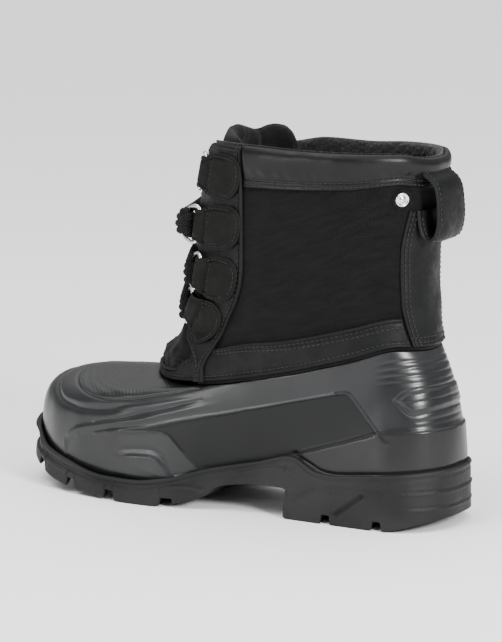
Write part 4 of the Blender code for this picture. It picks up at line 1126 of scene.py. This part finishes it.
def make_lining():
    """The fleece lining, from the foot up to a soft roll that turns out under the collar."""
    shares = np.concatenate([np.linspace(0.004, 0.90, 62), np.linspace(0.91, 1.012, 20)])
    u, v = grid(np.linspace(0.004, 0.996, LINING_TURNS), shares)
    turn, share = throat_places(u, v)
    base = shaft(turn, share, -CLOTH_WALL - 0.15)
    pile = 1.6 + 0.35 * soft_noise(base, 5.0, 5) + 0.3 * soft_noise(base, 2.6, 6)
    pile = pile + 0.5 * soft_noise(base, 30.0, 7) + 2.4 * after(share, 0.90, 0.06)
    ends = np.minimum(u, 1.0 - u) * 260.0
    roll = np.clip(1.0 - ((share - 0.97) / 0.0425).clip(0) ** 2, 0.0, 1.0)
    pile = pile * np.sqrt(ease(ends / 4.0)) * np.sqrt(roll)
    inner = shaft(turn, share, -CLOTH_WALL - 0.15 - pile)
    build_loops("shaft_lining", two_sided(inner, base), FLEECE, "lining", padded=0.7)


def band_places(u, v):
    """The lower band, from one side of the backstay round the front to the other."""
    rear = turn_wide(0.1, BACKSTAY.at(0.1, "half") + 1.0, at_front=False)
    middle = rear + (1.0 - 2.0 * rear) * u
    low = 0.014 * (1.0 - ease((leg_outline(middle, 0.0)[0] - 170.0) / 25.0))
    high = BAND_TOP.at(leg_outline(middle, 0.05)[0], "share")
    share = low + (high - low) * v
    rear = turn_wide(share, BACKSTAY.at(share, "half") + 1.0, at_front=False)
    return rear + (1.0 - 2.0 * rear) * u, share


def facing_places(u, v):
    high = 1.0 - 0.03 * after(u, 0.75, 0.25) ** 2
    share = 0.012 + (high - 0.012) * v
    first, last = facing_turn(share), throat_turn(share) + 0.001
    return first + (last - first) * u, share


def inner_facing_places(u, v):
    turn, share = facing_places(u, v)
    return 1.0 - turn, share


def backstay_places(u, v):
    share = 0.014 + 0.716 * v
    edge = turn_wide(share, BACKSTAY.at(share, "half"), at_front=False)
    return -edge + 2.0 * edge * u, share


def make_band():
    def relief(u, v, base):
        puckers = 0.16 * wave(lengths(base, 0), 7.0, 2.0 * soft_noise(base, 30.0, 8))
        return 0.35 * soft_noise(base, 24.0, 9) + puckers * (1.0 - 4.0 * v * (1.0 - v))
    grooves = ("v", 1.1, -0.5, 0.8), ("v", 3.1, 0.5, 0.8), ("top", 5.9, 0.3, 0.7)
    band = Strip(shaft, band_places, OVERLAY, 1.4, grooves, relief)
    band.build("lower_band_leather", "lower_band")
    rows = (("low", 3.1, 0.005, 0.995), ("top", 3.1, 0.005, 0.995), ("top", 5.9, 0.005, 0.30),
            ("top", 5.9, 0.70, 0.995))
    sew("stitches_lower_band", [band.line(*row) for row in rows], "strip_leather")


def make_facings():
    def relief(u, v, base):
        return 0.35 * soft_noise(base, 20.0, 10) + 0.3 * soft_noise(base * (1, 1, 0.5), 9.0, 11) * (1.2 - v)
    grooves = ("first", 1.2, -0.6, 0.8), ("first", 3.3, 0.5, 0.8), ("last", 0.9, -0.3, 0.6), ("last", 2.6, 0.3, 0.7)
    rows = []
    for word, place in (("outer", facing_places), ("inner", inner_facing_places)):
        strip = Strip(facing, place, 0.0, 1.5, grooves, relief, rounding=1.5)
        strip.build(f"facing_{word}_leather", f"facing_{word}")
        rows += [strip.line("first", 3.3, 0.01, 0.99), strip.line("last", 2.6, 0.01, 0.99),
                 strip.line("top", 2.4, 0.08, 0.94)]
    sew("stitches_facings", rows, "strip_leather")


def make_backstay():
    def relief(u, v, base):
        return 0.35 * soft_noise(base, 26.0, 12) + 0.5 * ridge(u - 0.5, 0.2)
    near, far = EDGE_SEAMS
    grooves = ("u", near, 0.35, 0.7), ("u", far, 0.3, 0.7), ("low", 3.0, 0.3, 0.7), ("low", 6.0, 0.3, 0.7)
    strip = Strip(shaft, backstay_places, OVERLAY, 1.4, grooves, relief)
    strip.build("backstay_leather", "backstay")
    rows = ("first", near), ("first", far), ("last", near), ("last", far), ("low", 3.0), ("low", 6.0)
    sew("stitches_backstay", [strip.line(*row, 0.02, 0.98) for row in rows], "strip_leather")


def make_collar():
    """The collar: a flat sewn hem, then a padded roll that turns over the shaft's top into the lining."""
    front = spline([(0.838, 0.7), (0.840, 1.7), (0.857, 1.95), (0.878, 1.9), (0.889, 2.1), (0.908, 2.9), (0.94, 3.6),
                    (0.970, 3.8), (0.988, 3.3), (1.0, 2.3), (1.006, 0.9), (1.004, -0.5), (0.995, -1.1)], 9)
    back = spline([(0.985, -0.9), (0.975, 0.3), (0.95, 0.5), (0.90, 0.5), (0.842, 0.5)], 7)
    profile = np.vstack([front, back])
    u, share = grid(np.linspace(0.0, 1.0, COLLAR_TURNS), profile[:, 0])
    out = profile[:, 1][None]
    edge = facing_turn(np.minimum(share, 1.0)) - 0.0015
    turn = edge - 2.0 * edge * u
    base = shaft(turn, share)
    walked = lengths(base, 0)
    ends = np.minimum(walked, walked[-1:] - walked)
    # Soft unevenness on the roll, and small tucks along its foot.
    roll = after(share, 0.885, 0.03)
    soft = 0.5 * soft_noise(base * (1.0, 1.0, 0.4), 42.0, 13) + 0.22 * soft_noise(base * (1, 1, 0.3), 15.0, 14)
    tuck = 0.3 * ridge(share - 0.90, 0.018) * wave(walked, 8.5, soft * 3.0)
    plump = 0.35 + 0.65 * np.sqrt(ease(ends / 4.0))
    middle = np.where(share > 0.96, 0.2, 0.5)
    shaped = middle + (out - middle) * plump + (soft * roll * 0.9 + tuck) * np.sign(out) * ease(ends / 5.0)
    for place in HEM_SEAMS:
        shaped = shaped - 0.35 * ridge((share - place) * LEG_HEIGHT, 0.7) * (out > 1.0)
    # The hem climbs towards the centre back.
    climb = 0.018 * ease((0.17 - np.abs(turn)) / 0.1) * (1.0 - after(share, 0.89, 0.07))
    points = shaft(turn, share + climb, shaped)
    build_loops("collar_roll", points, COLLAR_LOOK, "collar_leather", ["collar_band"],
                {"edge": np.full(turn.shape, 9.0)}, caps="fan", padded=0.75)
    rows = []
    for place in HEM_SEAMS:
        column = int(np.argmin(np.abs(front[10:44, 0] - place))) + 10
        normal = shaft(turn[:, column], share[:, column], 3.0) - base[:, column]
        rows.append((points[4:-4, column], normal[4:-4]))
    sew("stitches_collar", rows, "collar_leather")


def heel_ahead(share, out):
    """How far ahead the back of the leg is, at a distance out from its middle."""
    rear, front = SHAFT.at(share, "rear"), SHAFT.at(share, "front")
    return (rear + front) / 2.0 - oval(out / SHAFT.at(share, "half"), OVAL_POWER) * (front - rear) / 2.0


def make_pull_loop():
    """The strap at the back, along the middle line in PULL_LOOP: back from the leg, and height."""
    back, height, follow = spline(PULL_LOOP.rows[:, 1:], 12).T
    low = float(SHELL_RIM.at(20.0, "height"))
    share = (height - low) / (float(COLLAR.at(20.0, "outer")) - low)
    middle = heel_ahead(share, 0.0)
    line = np.stack([middle - back, height], 1)
    tangent = unit(np.gradient(line, axis=0))
    across = LOOP_HALF * (2.0 * edge_spread(2.0 * LOOP_HALF, 1.6) - 1.0)
    edge = LOOP_HALF - np.abs(across)
    half = LOOP_THICKNESS / 2.0 * rounded(edge)
    for seam, depth in zip(EDGE_SEAMS, (0.3, 0.25)):
        half = half - depth * ridge(edge - seam, 0.7)
    sides = []
    for sign in (1.0, -1.0):
        columns = []
        for out, thick in zip(across, half):
            bend = (heel_ahead(share, out) - middle) * follow
            columns.append(joined(line[:, 0] + bend - tangent[:, 1] * sign * thick, out,
                                  line[:, 1] + tangent[:, 0] * sign * thick))
        sides.append(np.stack(columns))
    wave = 0.35 * soft_noise(sides[0], 24.0, 15)[..., None] * (1.0, 0.0, 0.4)
    sides = [side + wave for side in sides]
    edges = np.broadcast_to(edge[:, None], sides[0].shape[:2])
    build_loops("pull_loop_strap", two_sided(*sides), LEATHER_LOOK, "strip_leather", ["pull_loop"],
                {"edge": two_sided(edges, edges)})
    seams = []
    for side, sign in zip(sides, (1.0, -1.0)):
        normal = joined(-tangent[:, 1] * sign, 0.0, tangent[:, 0] * sign)
        for want in (LOOP_HALF - EDGE_SEAMS[0], EDGE_SEAMS[0] - LOOP_HALF):
            column = int(np.argmin(np.abs(across - want)))
            seams.append((side[column][4:-4], normal[4:-4]))
    sew("stitches_pull_loop", seams, "strip_leather")


# ---------------------------------------------------------------- tongue, tabs, rings, lace and stud

TONGUE_CROWN = Table("part rise", (-1.0, 0.0), (-0.9, 0.026), (-0.7, 0.042), (-0.5, 0.055), (-0.3, 0.068),
                     (-0.1, 0.078), (0.1, 0.08), (0.22, 0.078), (0.3, 0.078), (0.38, 0.081), (0.5, 0.09),
                     (0.65, 0.096), (0.8, 0.09), (0.92, 0.06), (1.0, 0.0))
TONGUE_FOOT_TOP = 0.30


def make_tongue():
    """The padded tongue: a broad low bulge and a higher one at its top, with a soft crease between."""
    parts, level = grid(np.linspace(-1.0, 1.0, TONGUE_GRID), np.linspace(0.02, 1.0, TONGUE_GRID))
    crown = TONGUE_CROWN.at(parts, "rise")
    level = level + crown * after(level, 0.8, 0.2)
    on_shaft = np.minimum(level, 1.0)
    half = TONGUE.at(level, "half")
    half_turn = 0.5 - turn_wide(on_shaft, half)
    turn = 0.5 + half_turn * parts
    # The foot fills the throat's wide bottom, and the top leans back.
    opening = (0.5 - throat_turn(on_shaft)) / half_turn
    bulge = (4.0 + 2.5 * after(level, 0.12, 0.08)) * ease((opening - np.abs(parts)) / 0.22 - 0.6)
    foot = ease((TONGUE_FOOT_TOP - level) / 0.09)
    lean = 6.0 * after(level, 0.8, 0.27) * ease((parts + 1.0) / 1.2)
    thick = TONGUE.at(level, "thick")
    middle = 3.0 + TONGUE_GAP - bulge * foot + lean + thick / 2.0
    # Plump in the middle and thin at the edges.
    pillow = dome(np.clip((crown + 1.0 - level) * SHAFT_SPAN, 0.0, None), 9.0)
    sides = np.sqrt(ease((1.0 - np.abs(parts)) * half / 5.0))
    half_thick = thick / 2.0 * (0.12 + 0.88 * pillow) * (0.35 + 0.65 * sides)
    swell = after(level, 0.84, 0.1) * (crown / 0.094) * 1.8
    crease = 0.8 * ridge(parts - 0.3, 0.07) + 0.35 * ridge(parts + 0.42, 0.09)
    crease = crease * after(level, 0.86, 0.08)
    base = shaft(turn, level)
    folds = 0.5 * soft_noise(base, 22.0, 16) + 0.25 * soft_noise(base, 9.0, 17)
    pleats = 0.45 * wave(parts * half, 6.5, 1.6 * folds) * before(level, 0.16, 0.06)
    channel = ridge((level * SHAFT_SPAN) % 24.0 - 12.0, 1.6)
    channel = channel * before(level, 0.84, 0.04) * after(level, 0.2, 0.05)
    front = -middle + half_thick + (swell + folds + pleats) * pillow * sides - crease * 1.8 - channel * 0.9
    back = -middle - half_thick - (0.7 * swell + folds) * pillow * sides + crease * 0.8
    outer = shaft(turn, level, front)
    build_loops("tongue_pad", two_sided(outer, shaft(turn, level, back)), TONGUE_TEXTILE, "shaft_textile",
                ["tongue"], cloth_fields(outer), padded=0.8)
    # Two rows of stitches across the foot, and a small sewn oblong above them.
    normals = shaft(turn, level, 1.0) - base
    seams = [(outer[8:-8, row], normals[8:-8, row]) for row in (6, 9)]
    corners = [(-0.16, 0.125), (-0.16, 0.20), (0.16, 0.20), (0.16, 0.125), (-0.16, 0.125)]
    steps, centre = np.arange(TONGUE_GRID), level[TONGUE_GRID // 2]
    for (part, low), (other, high) in zip(corners, corners[1:]):
        across = np.interp(np.linspace(part, other, 20), parts[:, 0], steps).round().astype(int)
        upward = np.interp(np.linspace(low, high, 20), centre, steps).round().astype(int)
        seams.append((outer[across, upward], normals[across, upward]))
    sew("stitches_tongue", seams, "shaft_textile", FINE_STITCH)


class Girth:
    """Turns looked up by share and by distance along the girth from the middle front."""

    def __init__(self):
        self.shares = np.linspace(-0.02, 1.1, 57)
        self.turns = np.linspace(0.5, 0.12, 260)
        share, turn = grid(self.shares, self.turns)
        self.walked = lengths(joined(*leg_outline(turn, share)), 1)

    def turn(self, share, distance):
        share, distance = np.broadcast_arrays(share, distance)
        place = np.clip((share - self.shares[0]) / (self.shares[1] - self.shares[0]), 0, len(self.shares) - 1.001)
        row = place.astype(int)
        part = (place - row)[..., None]
        walked = self.walked[row] * (1.0 - part) + self.walked[row + 1] * part
        step = np.clip((walked < distance[..., None]).sum(-1) - 1, 0, len(self.turns) - 2)
        near, far = (np.take_along_axis(walked, step[..., None] + more, -1)[..., 0] for more in (0, 1))
        return self.turns[step] + (distance - near) / (far - near) * (self.turns[1] - self.turns[0])


GIRTH = Girth()
SHAFT_SPAN = float(COLLAR.at(150.0, "outer") - SHELL_RIM.at(205.0, "height"))


class TabPlace:
    """Where one lace tab lies: points are given back from the throat, up, and out from the facing."""

    def __init__(self, number, side):
        self.share, tilt, back, self.length = LACE_TABS.row(number)
        self.tilt = math.radians(tilt)
        turns = np.linspace(float(throat_turn(self.share)), 0.5, 24)
        throat = lengths(joined(*leg_outline(turns, self.share)))[-1]
        self.reach = throat + back
        self.side = side

    def at(self, back, up, out):
        walk = back * math.cos(self.tilt) + up * math.sin(self.tilt)
        rise = up * math.cos(self.tilt) - back * math.sin(self.tilt)
        share = self.share + rise / SHAFT_SPAN
        distance = self.reach + walk
        turn = GIRTH.turn(share, np.abs(distance))
        # Past the middle front a place is on the boot's other side.
        return facing(turn, share, LEATHER + out) * joined(1.0, self.side * np.where(distance < 0, -1.0, 1.0), 1.0)


RINGS = Table("number lift tilt drop", (1, -0.03, 3.0, 0.0), (2, 0.52, -1.0, 0.0), (3, -0.12, 9.0, 0.0),
              (4, -0.15, 9.0, 1.5))


class RingPlace(TabPlace):
    """A ring's plane: it starts in its tab's fold, turned and lifted as the lace pulls it."""

    def __init__(self, number, side):
        super().__init__(number, side)
        self.lift, tilt, self.drop = RINGS.row(number)
        self.tilt = math.radians(tilt)

    def at(self, back, up, out):
        return super().at(back, up - self.drop, out + self.lift * (BAR_BACK - back))


def tab_end(across, length):
    """How far back a tab reaches, by the share of its half width."""
    return length - TAB_END_ROUND * (1.0 - np.clip(1.0 - np.abs(across) ** 2.6, 0.0, 1.0) ** (1.0 / 2.2))


# The crease where a tab's fold is sewn, where its rear part starts, and how far in its edge stitches run.
TAB_CREASE, TAB_REAR, TAB_SEAM = 10.6, 14.0, 2.3
# A tab's middle line, back and out: along its front face to the fold, round the ring's bar and back under.
TAB_FOLD = [(20, 1.15), (12, 2.4), (6.5, 4.3), (3.2, 5.35), (1.3, 5.15), (0.25, 4.2), (0.05, 3.0), (0.6, 1.8),
            (2.4, 1.05), (8, 1.0)]
FACE_SAMPLES = 48


def tab_half(back):
    return TAB_FRONT_HALF + (TAB_REAR_HALF - TAB_FRONT_HALF) * after(back, 3.0, 14.0)


def make_tab(name, node, place):
    """One tab, folded round its ring's bar. Gives its two rows of stitches."""
    length = place.length
    fold = spline([(length, 0.95), (length - 7, 0.95)] + TAB_FOLD, 6)
    tangent = unit(np.gradient(fold, axis=0))
    across = (2.0 * edge_spread(26.0, 1.3) - 1.0)[:, None]
    back, bar = fold.T[:, None]
    end = tab_end(across, length)
    back = np.where(back > TAB_REAR, TAB_REAR + (back - TAB_REAR) * (end - TAB_REAR) / (length - TAB_REAR), back)
    half = tab_half(back)
    edge = np.minimum((1.0 - np.abs(across)) * half, np.where(back > TAB_REAR, end - back, 9.0))
    # The face is puffed up, with a sunk seam along its edge and a deep crease behind the fold.
    puff = 0.8 * ease(edge / 6.0) * after(back, 5.0, 10.0) - 0.35 * ridge(edge - TAB_SEAM, 0.7)
    puff = puff + 0.4 * ridge(edge - 3.9, 0.8) * after(back, 13.0, 2.0)
    puff = puff - 1.7 * ridge(back - TAB_CREASE, 1.5) * ease(edge / 2.0)
    puff = puff * (np.arange(len(fold)) < FACE_SAMPLES)
    thick = TAB_LEATHER / 2.0 * rounded(edge)
    sheets = [place.at(back + tangent[:, 1] * reach, across * half, bar - tangent[:, 0] * reach)
              for reach in (thick + puff, -thick + puff * 0.4)]
    build_loops(name, two_sided(*sheets), TAB_LOOK, "strip_leather", [node], {"edge": two_sided(edge, edge)})
    # Edge stitching round the tab's rear, and a line across it behind the fold.
    inset = 1.0 - TAB_SEAM / TAB_REAR_HALF
    arc = np.linspace(inset, -inset, 60)
    rear = tab_end(arc / inset * 0.9999, length) - TAB_SEAM
    straight = np.linspace(10.0, rear[0], 12)[:-1]
    backs = np.concatenate([straight, rear, straight[::-1]])
    ups = np.concatenate([np.full(11, inset), arc, np.full(11, -inset)]) * tab_half(backs)
    face = fold[FACE_SAMPLES - 1::-1].T
    seams = []
    for backs, ups, above in ((backs, ups, TAB_LEATHER / 2.0 + 0.15),
                              (np.full(20, TAB_CREASE + 1.9), np.linspace(-9.5, 9.5, 20), 0.75)):
        out = np.interp(backs, *face) + above
        line = place.at(backs, ups, out)
        seams.append((line, place.at(backs, ups, out + 1) - line))
    return seams


def make_tabs():
    seams = []
    for side, word in ((1.0, "outer"), (-1.0, "inner")):
        for number in (1, 2, 3, 4):
            seams += make_tab(f"tab_{word}_{number}", f"lace_tab_{word}_{number}", TabPlace(number, side))
            make_ring(f"ring_{word}_{number}", f"d_ring_{word}_{number}", RingPlace(number, side))
    sew("stitches_tabs", seams, "strip_leather", FINE_STITCH)


def make_ring(name, node, place):
    """A D of round wire: a straight bar in the tab's fold, and a bow."""
    half = RING_HEIGHT / 2.0
    corners = [(0.0, up) for up in (-half + 1.5, -half / 2, 0.0, half / 2, half - 1.5)]
    for angle in np.radians((78.0, 55.0, 30.0, 0.0, -30.0, -55.0, -78.0)):
        corners.append((-RING_REACH * math.cos(angle) - BOW_SET, half * math.sin(angle)))
    # Two more corners at either end close the line smoothly, and are cut off again.
    back, up = spline(corners[-2:] + corners + corners[:2], 8)[16:-9].T
    line = place.at(BAR_BACK + back, up, np.full(len(up), BAR_OUT))
    build_loops(name, sweep(line, WIRE_RADIUS, 12, closed=True)[0], STEEL, "ring_steel", [node], closed=True,
                merge=FINE_MERGE)


WRAP_PITCH, WRAP_REACH = 3.8, 2.4
WRAP_START, WRAP_REST = -80.0, 190.0  # degrees: where the winding starts, and how far its last turn goes


def wrap(number, side, turns, radius, shift, inset):
    """Points of a cord that winds round a ring's bow, from under it to over it, rising as it goes."""
    place = RingPlace(number, side)
    whole = WRAP_REST + 360.0 * (turns - 1)
    points = []
    for part in np.linspace(0.0, 1.0, int(whole / 45.0) + 1):
        angle = math.radians(WRAP_START - part * whole)
        up = shift + (part - 0.5) * WRAP_PITCH * whole / 360.0 + 0.2 * math.sin(part * 9.0 + number)
        bow = BAR_BACK - BOW_SET - RING_REACH * math.sqrt(1.0 - (2.0 * up / RING_HEIGHT) ** 2) + inset
        reach = WRAP_REACH + 0.6 * math.cos(math.pi * (part - 0.5))
        points.append((*place.at(bow + reach * math.cos(angle), up, BAR_OUT + reach * math.sin(angle)), radius))
    return points


# Turns round the ring, the cord's radius, and how far up the ring and in from its bow they sit, by ring.
WRAPS = {4: (4, 2.7, -3.0, 1.6), 3: (4, 2.6, -2.4, 1.6), 2: (4, 2.5, 0.0, 2.2)}


def make_lace():
    """One cord: it winds round each ring's bow, crosses over the tongue, and its ends hide behind the top rings."""
    halves = []
    bow = BAR_BACK - RING_REACH - BOW_SET
    for first in (1.0, -1.0):
        line = [(*TabPlace(4, first).at(bow - 8.0, -5.0, -1.6), LACE_RADIUS)]
        for step in range(4):
            number = 4 - step
            place = TabPlace(number, first * (-1.0) ** step)
            if number > 1:
                line += wrap(number, place.side, *WRAPS[number])
                line.append((*place.at(bow - 6.5, 10.0, 2.0 if number == 2 else -0.6), LACE_RADIUS))
                share = (place.share + LACE_TABS.row(number - 1)[0]) / 2.0
                over = 2.2 if (first > 0) == (number % 2 == 0) else -1.6
                line.append((*facing(0.5, share, over), LACE_RADIUS))
                following = TabPlace(number - 1, -place.side)
                line.append((*following.at(bow - 7.0, -9.0, -2.0), LACE_RADIUS))
            else:
                line += [(*place.at(bow - 3.0, -2.5, -0.8), 2.5), (*place.at(bow + 1.5, 0.0, -0.6), 2.4),
                         (*place.at(bow + 6.0, 1.5, 0.6), 2.2), (*place.at(bow + 9.0, 2.0, 0.4), 1.8)]
        halves.append(line)
    middle = (*facing(0.5, TabPlace(4, 1.0).share - 0.01, 0.4), LACE_RADIUS)
    smooth = spline(halves[1][::-1] + [middle] + halves[0], 9)
    tube, cloth = sweep(smooth[:, :3], smooth[:, 3], 11)
    build_loops("lace_cord", tube, CORD, "lace_cord", ["lace"], {"cloth": cloth}, caps="fan", merge=FINE_MERGE)


def make_stud():
    """The snap's domed cap, on a cloth washer, near the top of the outer side."""
    turn = float(turn_ahead(STUD_SHARE, STUD_AHEAD))
    centre = shaft(turn, STUD_SHARE, OVERLAY)
    axis = unit(shaft(turn, STUD_SHARE, OVERLAY + 1.0) - centre)
    across = unit(np.cross(axis, (0.0, 0.0, 1.0)))
    lift = np.cross(across, axis)

    def turned(name, profile, look, slot, nodes=()):
        angle = np.linspace(0.0, 2.0 * np.pi, 72, endpoint=False)[:, None, None]
        radius, out = np.array(profile, float).T[:, :, None]
        points = centre + radius * np.cos(angle) * across + radius * np.sin(angle) * lift + out * axis
        build_loops(name, points, look, slot, nodes, {"cloth": points}, closed=True, merge=FINE_MERGE)
    turned("stud_cap", [(0.001, 0.2), (4.1, 0.2), (4.4, 0.45), (4.45, 0.9), (4.2, 1.5), (3.8, 1.75), (3.35, 1.6),
                        (3.0, 1.1), (2.6, 1.0), (2.2, 1.25), (1.6, 1.75), (0.9, 2.0), (0.001, 2.05)],
           STEEL, "ring_steel", ["snap_stud"])
    turned("stud_washer", [(4.0, -0.6), (5.9, -0.55), (6.2, -0.3), (5.9, -0.1), (5.2, 0.1), (4.6, 0.2), (4.0, 0.2)],
           TEXTILE, "shaft_textile")


# ---------------------------------------------------------------- floor, light and camera

SKY_TOP, SKY_LOW = 3.3, 0.34
FLOOR_HALF = 14.0
# Each light's place and target, its width and height, and its power.
LIGHTS = {"key": ((0.42, 0.82, 1.75), (0.05, 0.0, 0.1), (0.8, 0.8), 16.0),
          "heel_strip": ((-1.52, 0.77, 0.85), (-0.06, 0.0, 0.09), (0.4, 0.4), 50.0),
          "low_box": ((1.0, 2.0, 0.3), (0.05, 0.05, 0.07), (0.9, 0.28), 17.0)}
VIEW_TURN, VIEW_RISE = 30.0, 9.534
VIEW_DISTANCE, VIEW_LENS = 1.8, 161.0
VIEW_TARGET = (0.0605, 0.0, 0.1130)


def make_stage():
    """A pale floor, and a sky that is brightest straight above, like one wide soft box over a white sweep."""
    mesh = bpy.data.meshes.new("floor")
    corners = [(x * FLOOR_HALF, y * FLOOR_HALF, 0) for x, y in ((-1, -1), (1, -1), (1, 1), (-1, 1))]
    mesh.from_pydata(corners, [], [(0, 1, 2, 3)])
    floor = bpy.data.objects.new("floor", mesh)
    bpy.context.scene.collection.objects.link(floor)
    pale = bpy.data.materials.new("pale_floor")
    pale.use_nodes = True
    shader = pale.node_tree.nodes["Principled BSDF"]
    shader.inputs["Base Color"].default_value = (0.92, 0.92, 0.92, 1.0)
    shader.inputs["Roughness"].default_value = 0.7
    mesh.materials.append(pale)
    sky = bpy.data.worlds.new("studio")
    sky.use_nodes = True
    tree = sky.node_tree
    ground = tree.nodes["Background"]
    ground.inputs["Color"].default_value = (1.0, 1.0, 1.0, 1.0)
    direction = tree.nodes.new("ShaderNodeSeparateXYZ")
    tree.links.new(tree.nodes.new("ShaderNodeTexCoord").outputs["Generated"], direction.inputs[0])
    socket = direction.outputs["Z"]
    for operation, number in (("MAXIMUM", 0.0), ("POWER", 3.0), ("MULTIPLY", SKY_TOP), ("ADD", SKY_LOW)):
        step = tree.nodes.new("ShaderNodeMath")
        step.operation = operation
        step.inputs[1].default_value = number
        tree.links.new(socket, step.inputs[0])
        socket = step.outputs[0]
    tree.links.new(socket, ground.inputs["Strength"])
    bpy.context.scene.world = sky


def make_light(name, place, target, size, power):
    light = bpy.data.lights.new(name, "AREA")
    light.shape = "RECTANGLE"
    light.size, light.size_y = size
    light.energy = power
    lamp = bpy.data.objects.new(name, light)
    lamp.location = place
    lamp.rotation_euler = (Vector(target) - Vector(place)).to_track_quat("-Z", "Y").to_euler()
    bpy.context.scene.collection.objects.link(lamp)


def make_camera():
    turn, rise = math.radians(VIEW_TURN), math.radians(VIEW_RISE)
    away = Vector((-math.sin(turn) * math.cos(rise), math.cos(turn) * math.cos(rise), math.sin(rise)))
    lens = bpy.data.cameras.new("photo_view")
    lens.sensor_fit, lens.sensor_height, lens.lens = "VERTICAL", 36.0, VIEW_LENS
    lens.clip_start, lens.clip_end = 0.05, 50.0
    camera = bpy.data.objects.new("photo_view", lens)
    camera.location = Vector(VIEW_TARGET) + away * VIEW_DISTANCE
    camera.rotation_euler = away.to_track_quat("Z", "Y").to_euler()
    bpy.context.scene.collection.objects.link(camera)
    bpy.context.scene.camera = camera


make_shell()
make_outsole()
make_footbed()
make_shaft()
make_lining()
make_band()
make_facings()
make_backstay()
make_collar()
make_pull_loop()
make_tongue()
make_tabs()
make_lace()
make_stud()
make_stage()
for light_name, settings in LIGHTS.items():
    make_light(light_name, *settings)
make_camera()
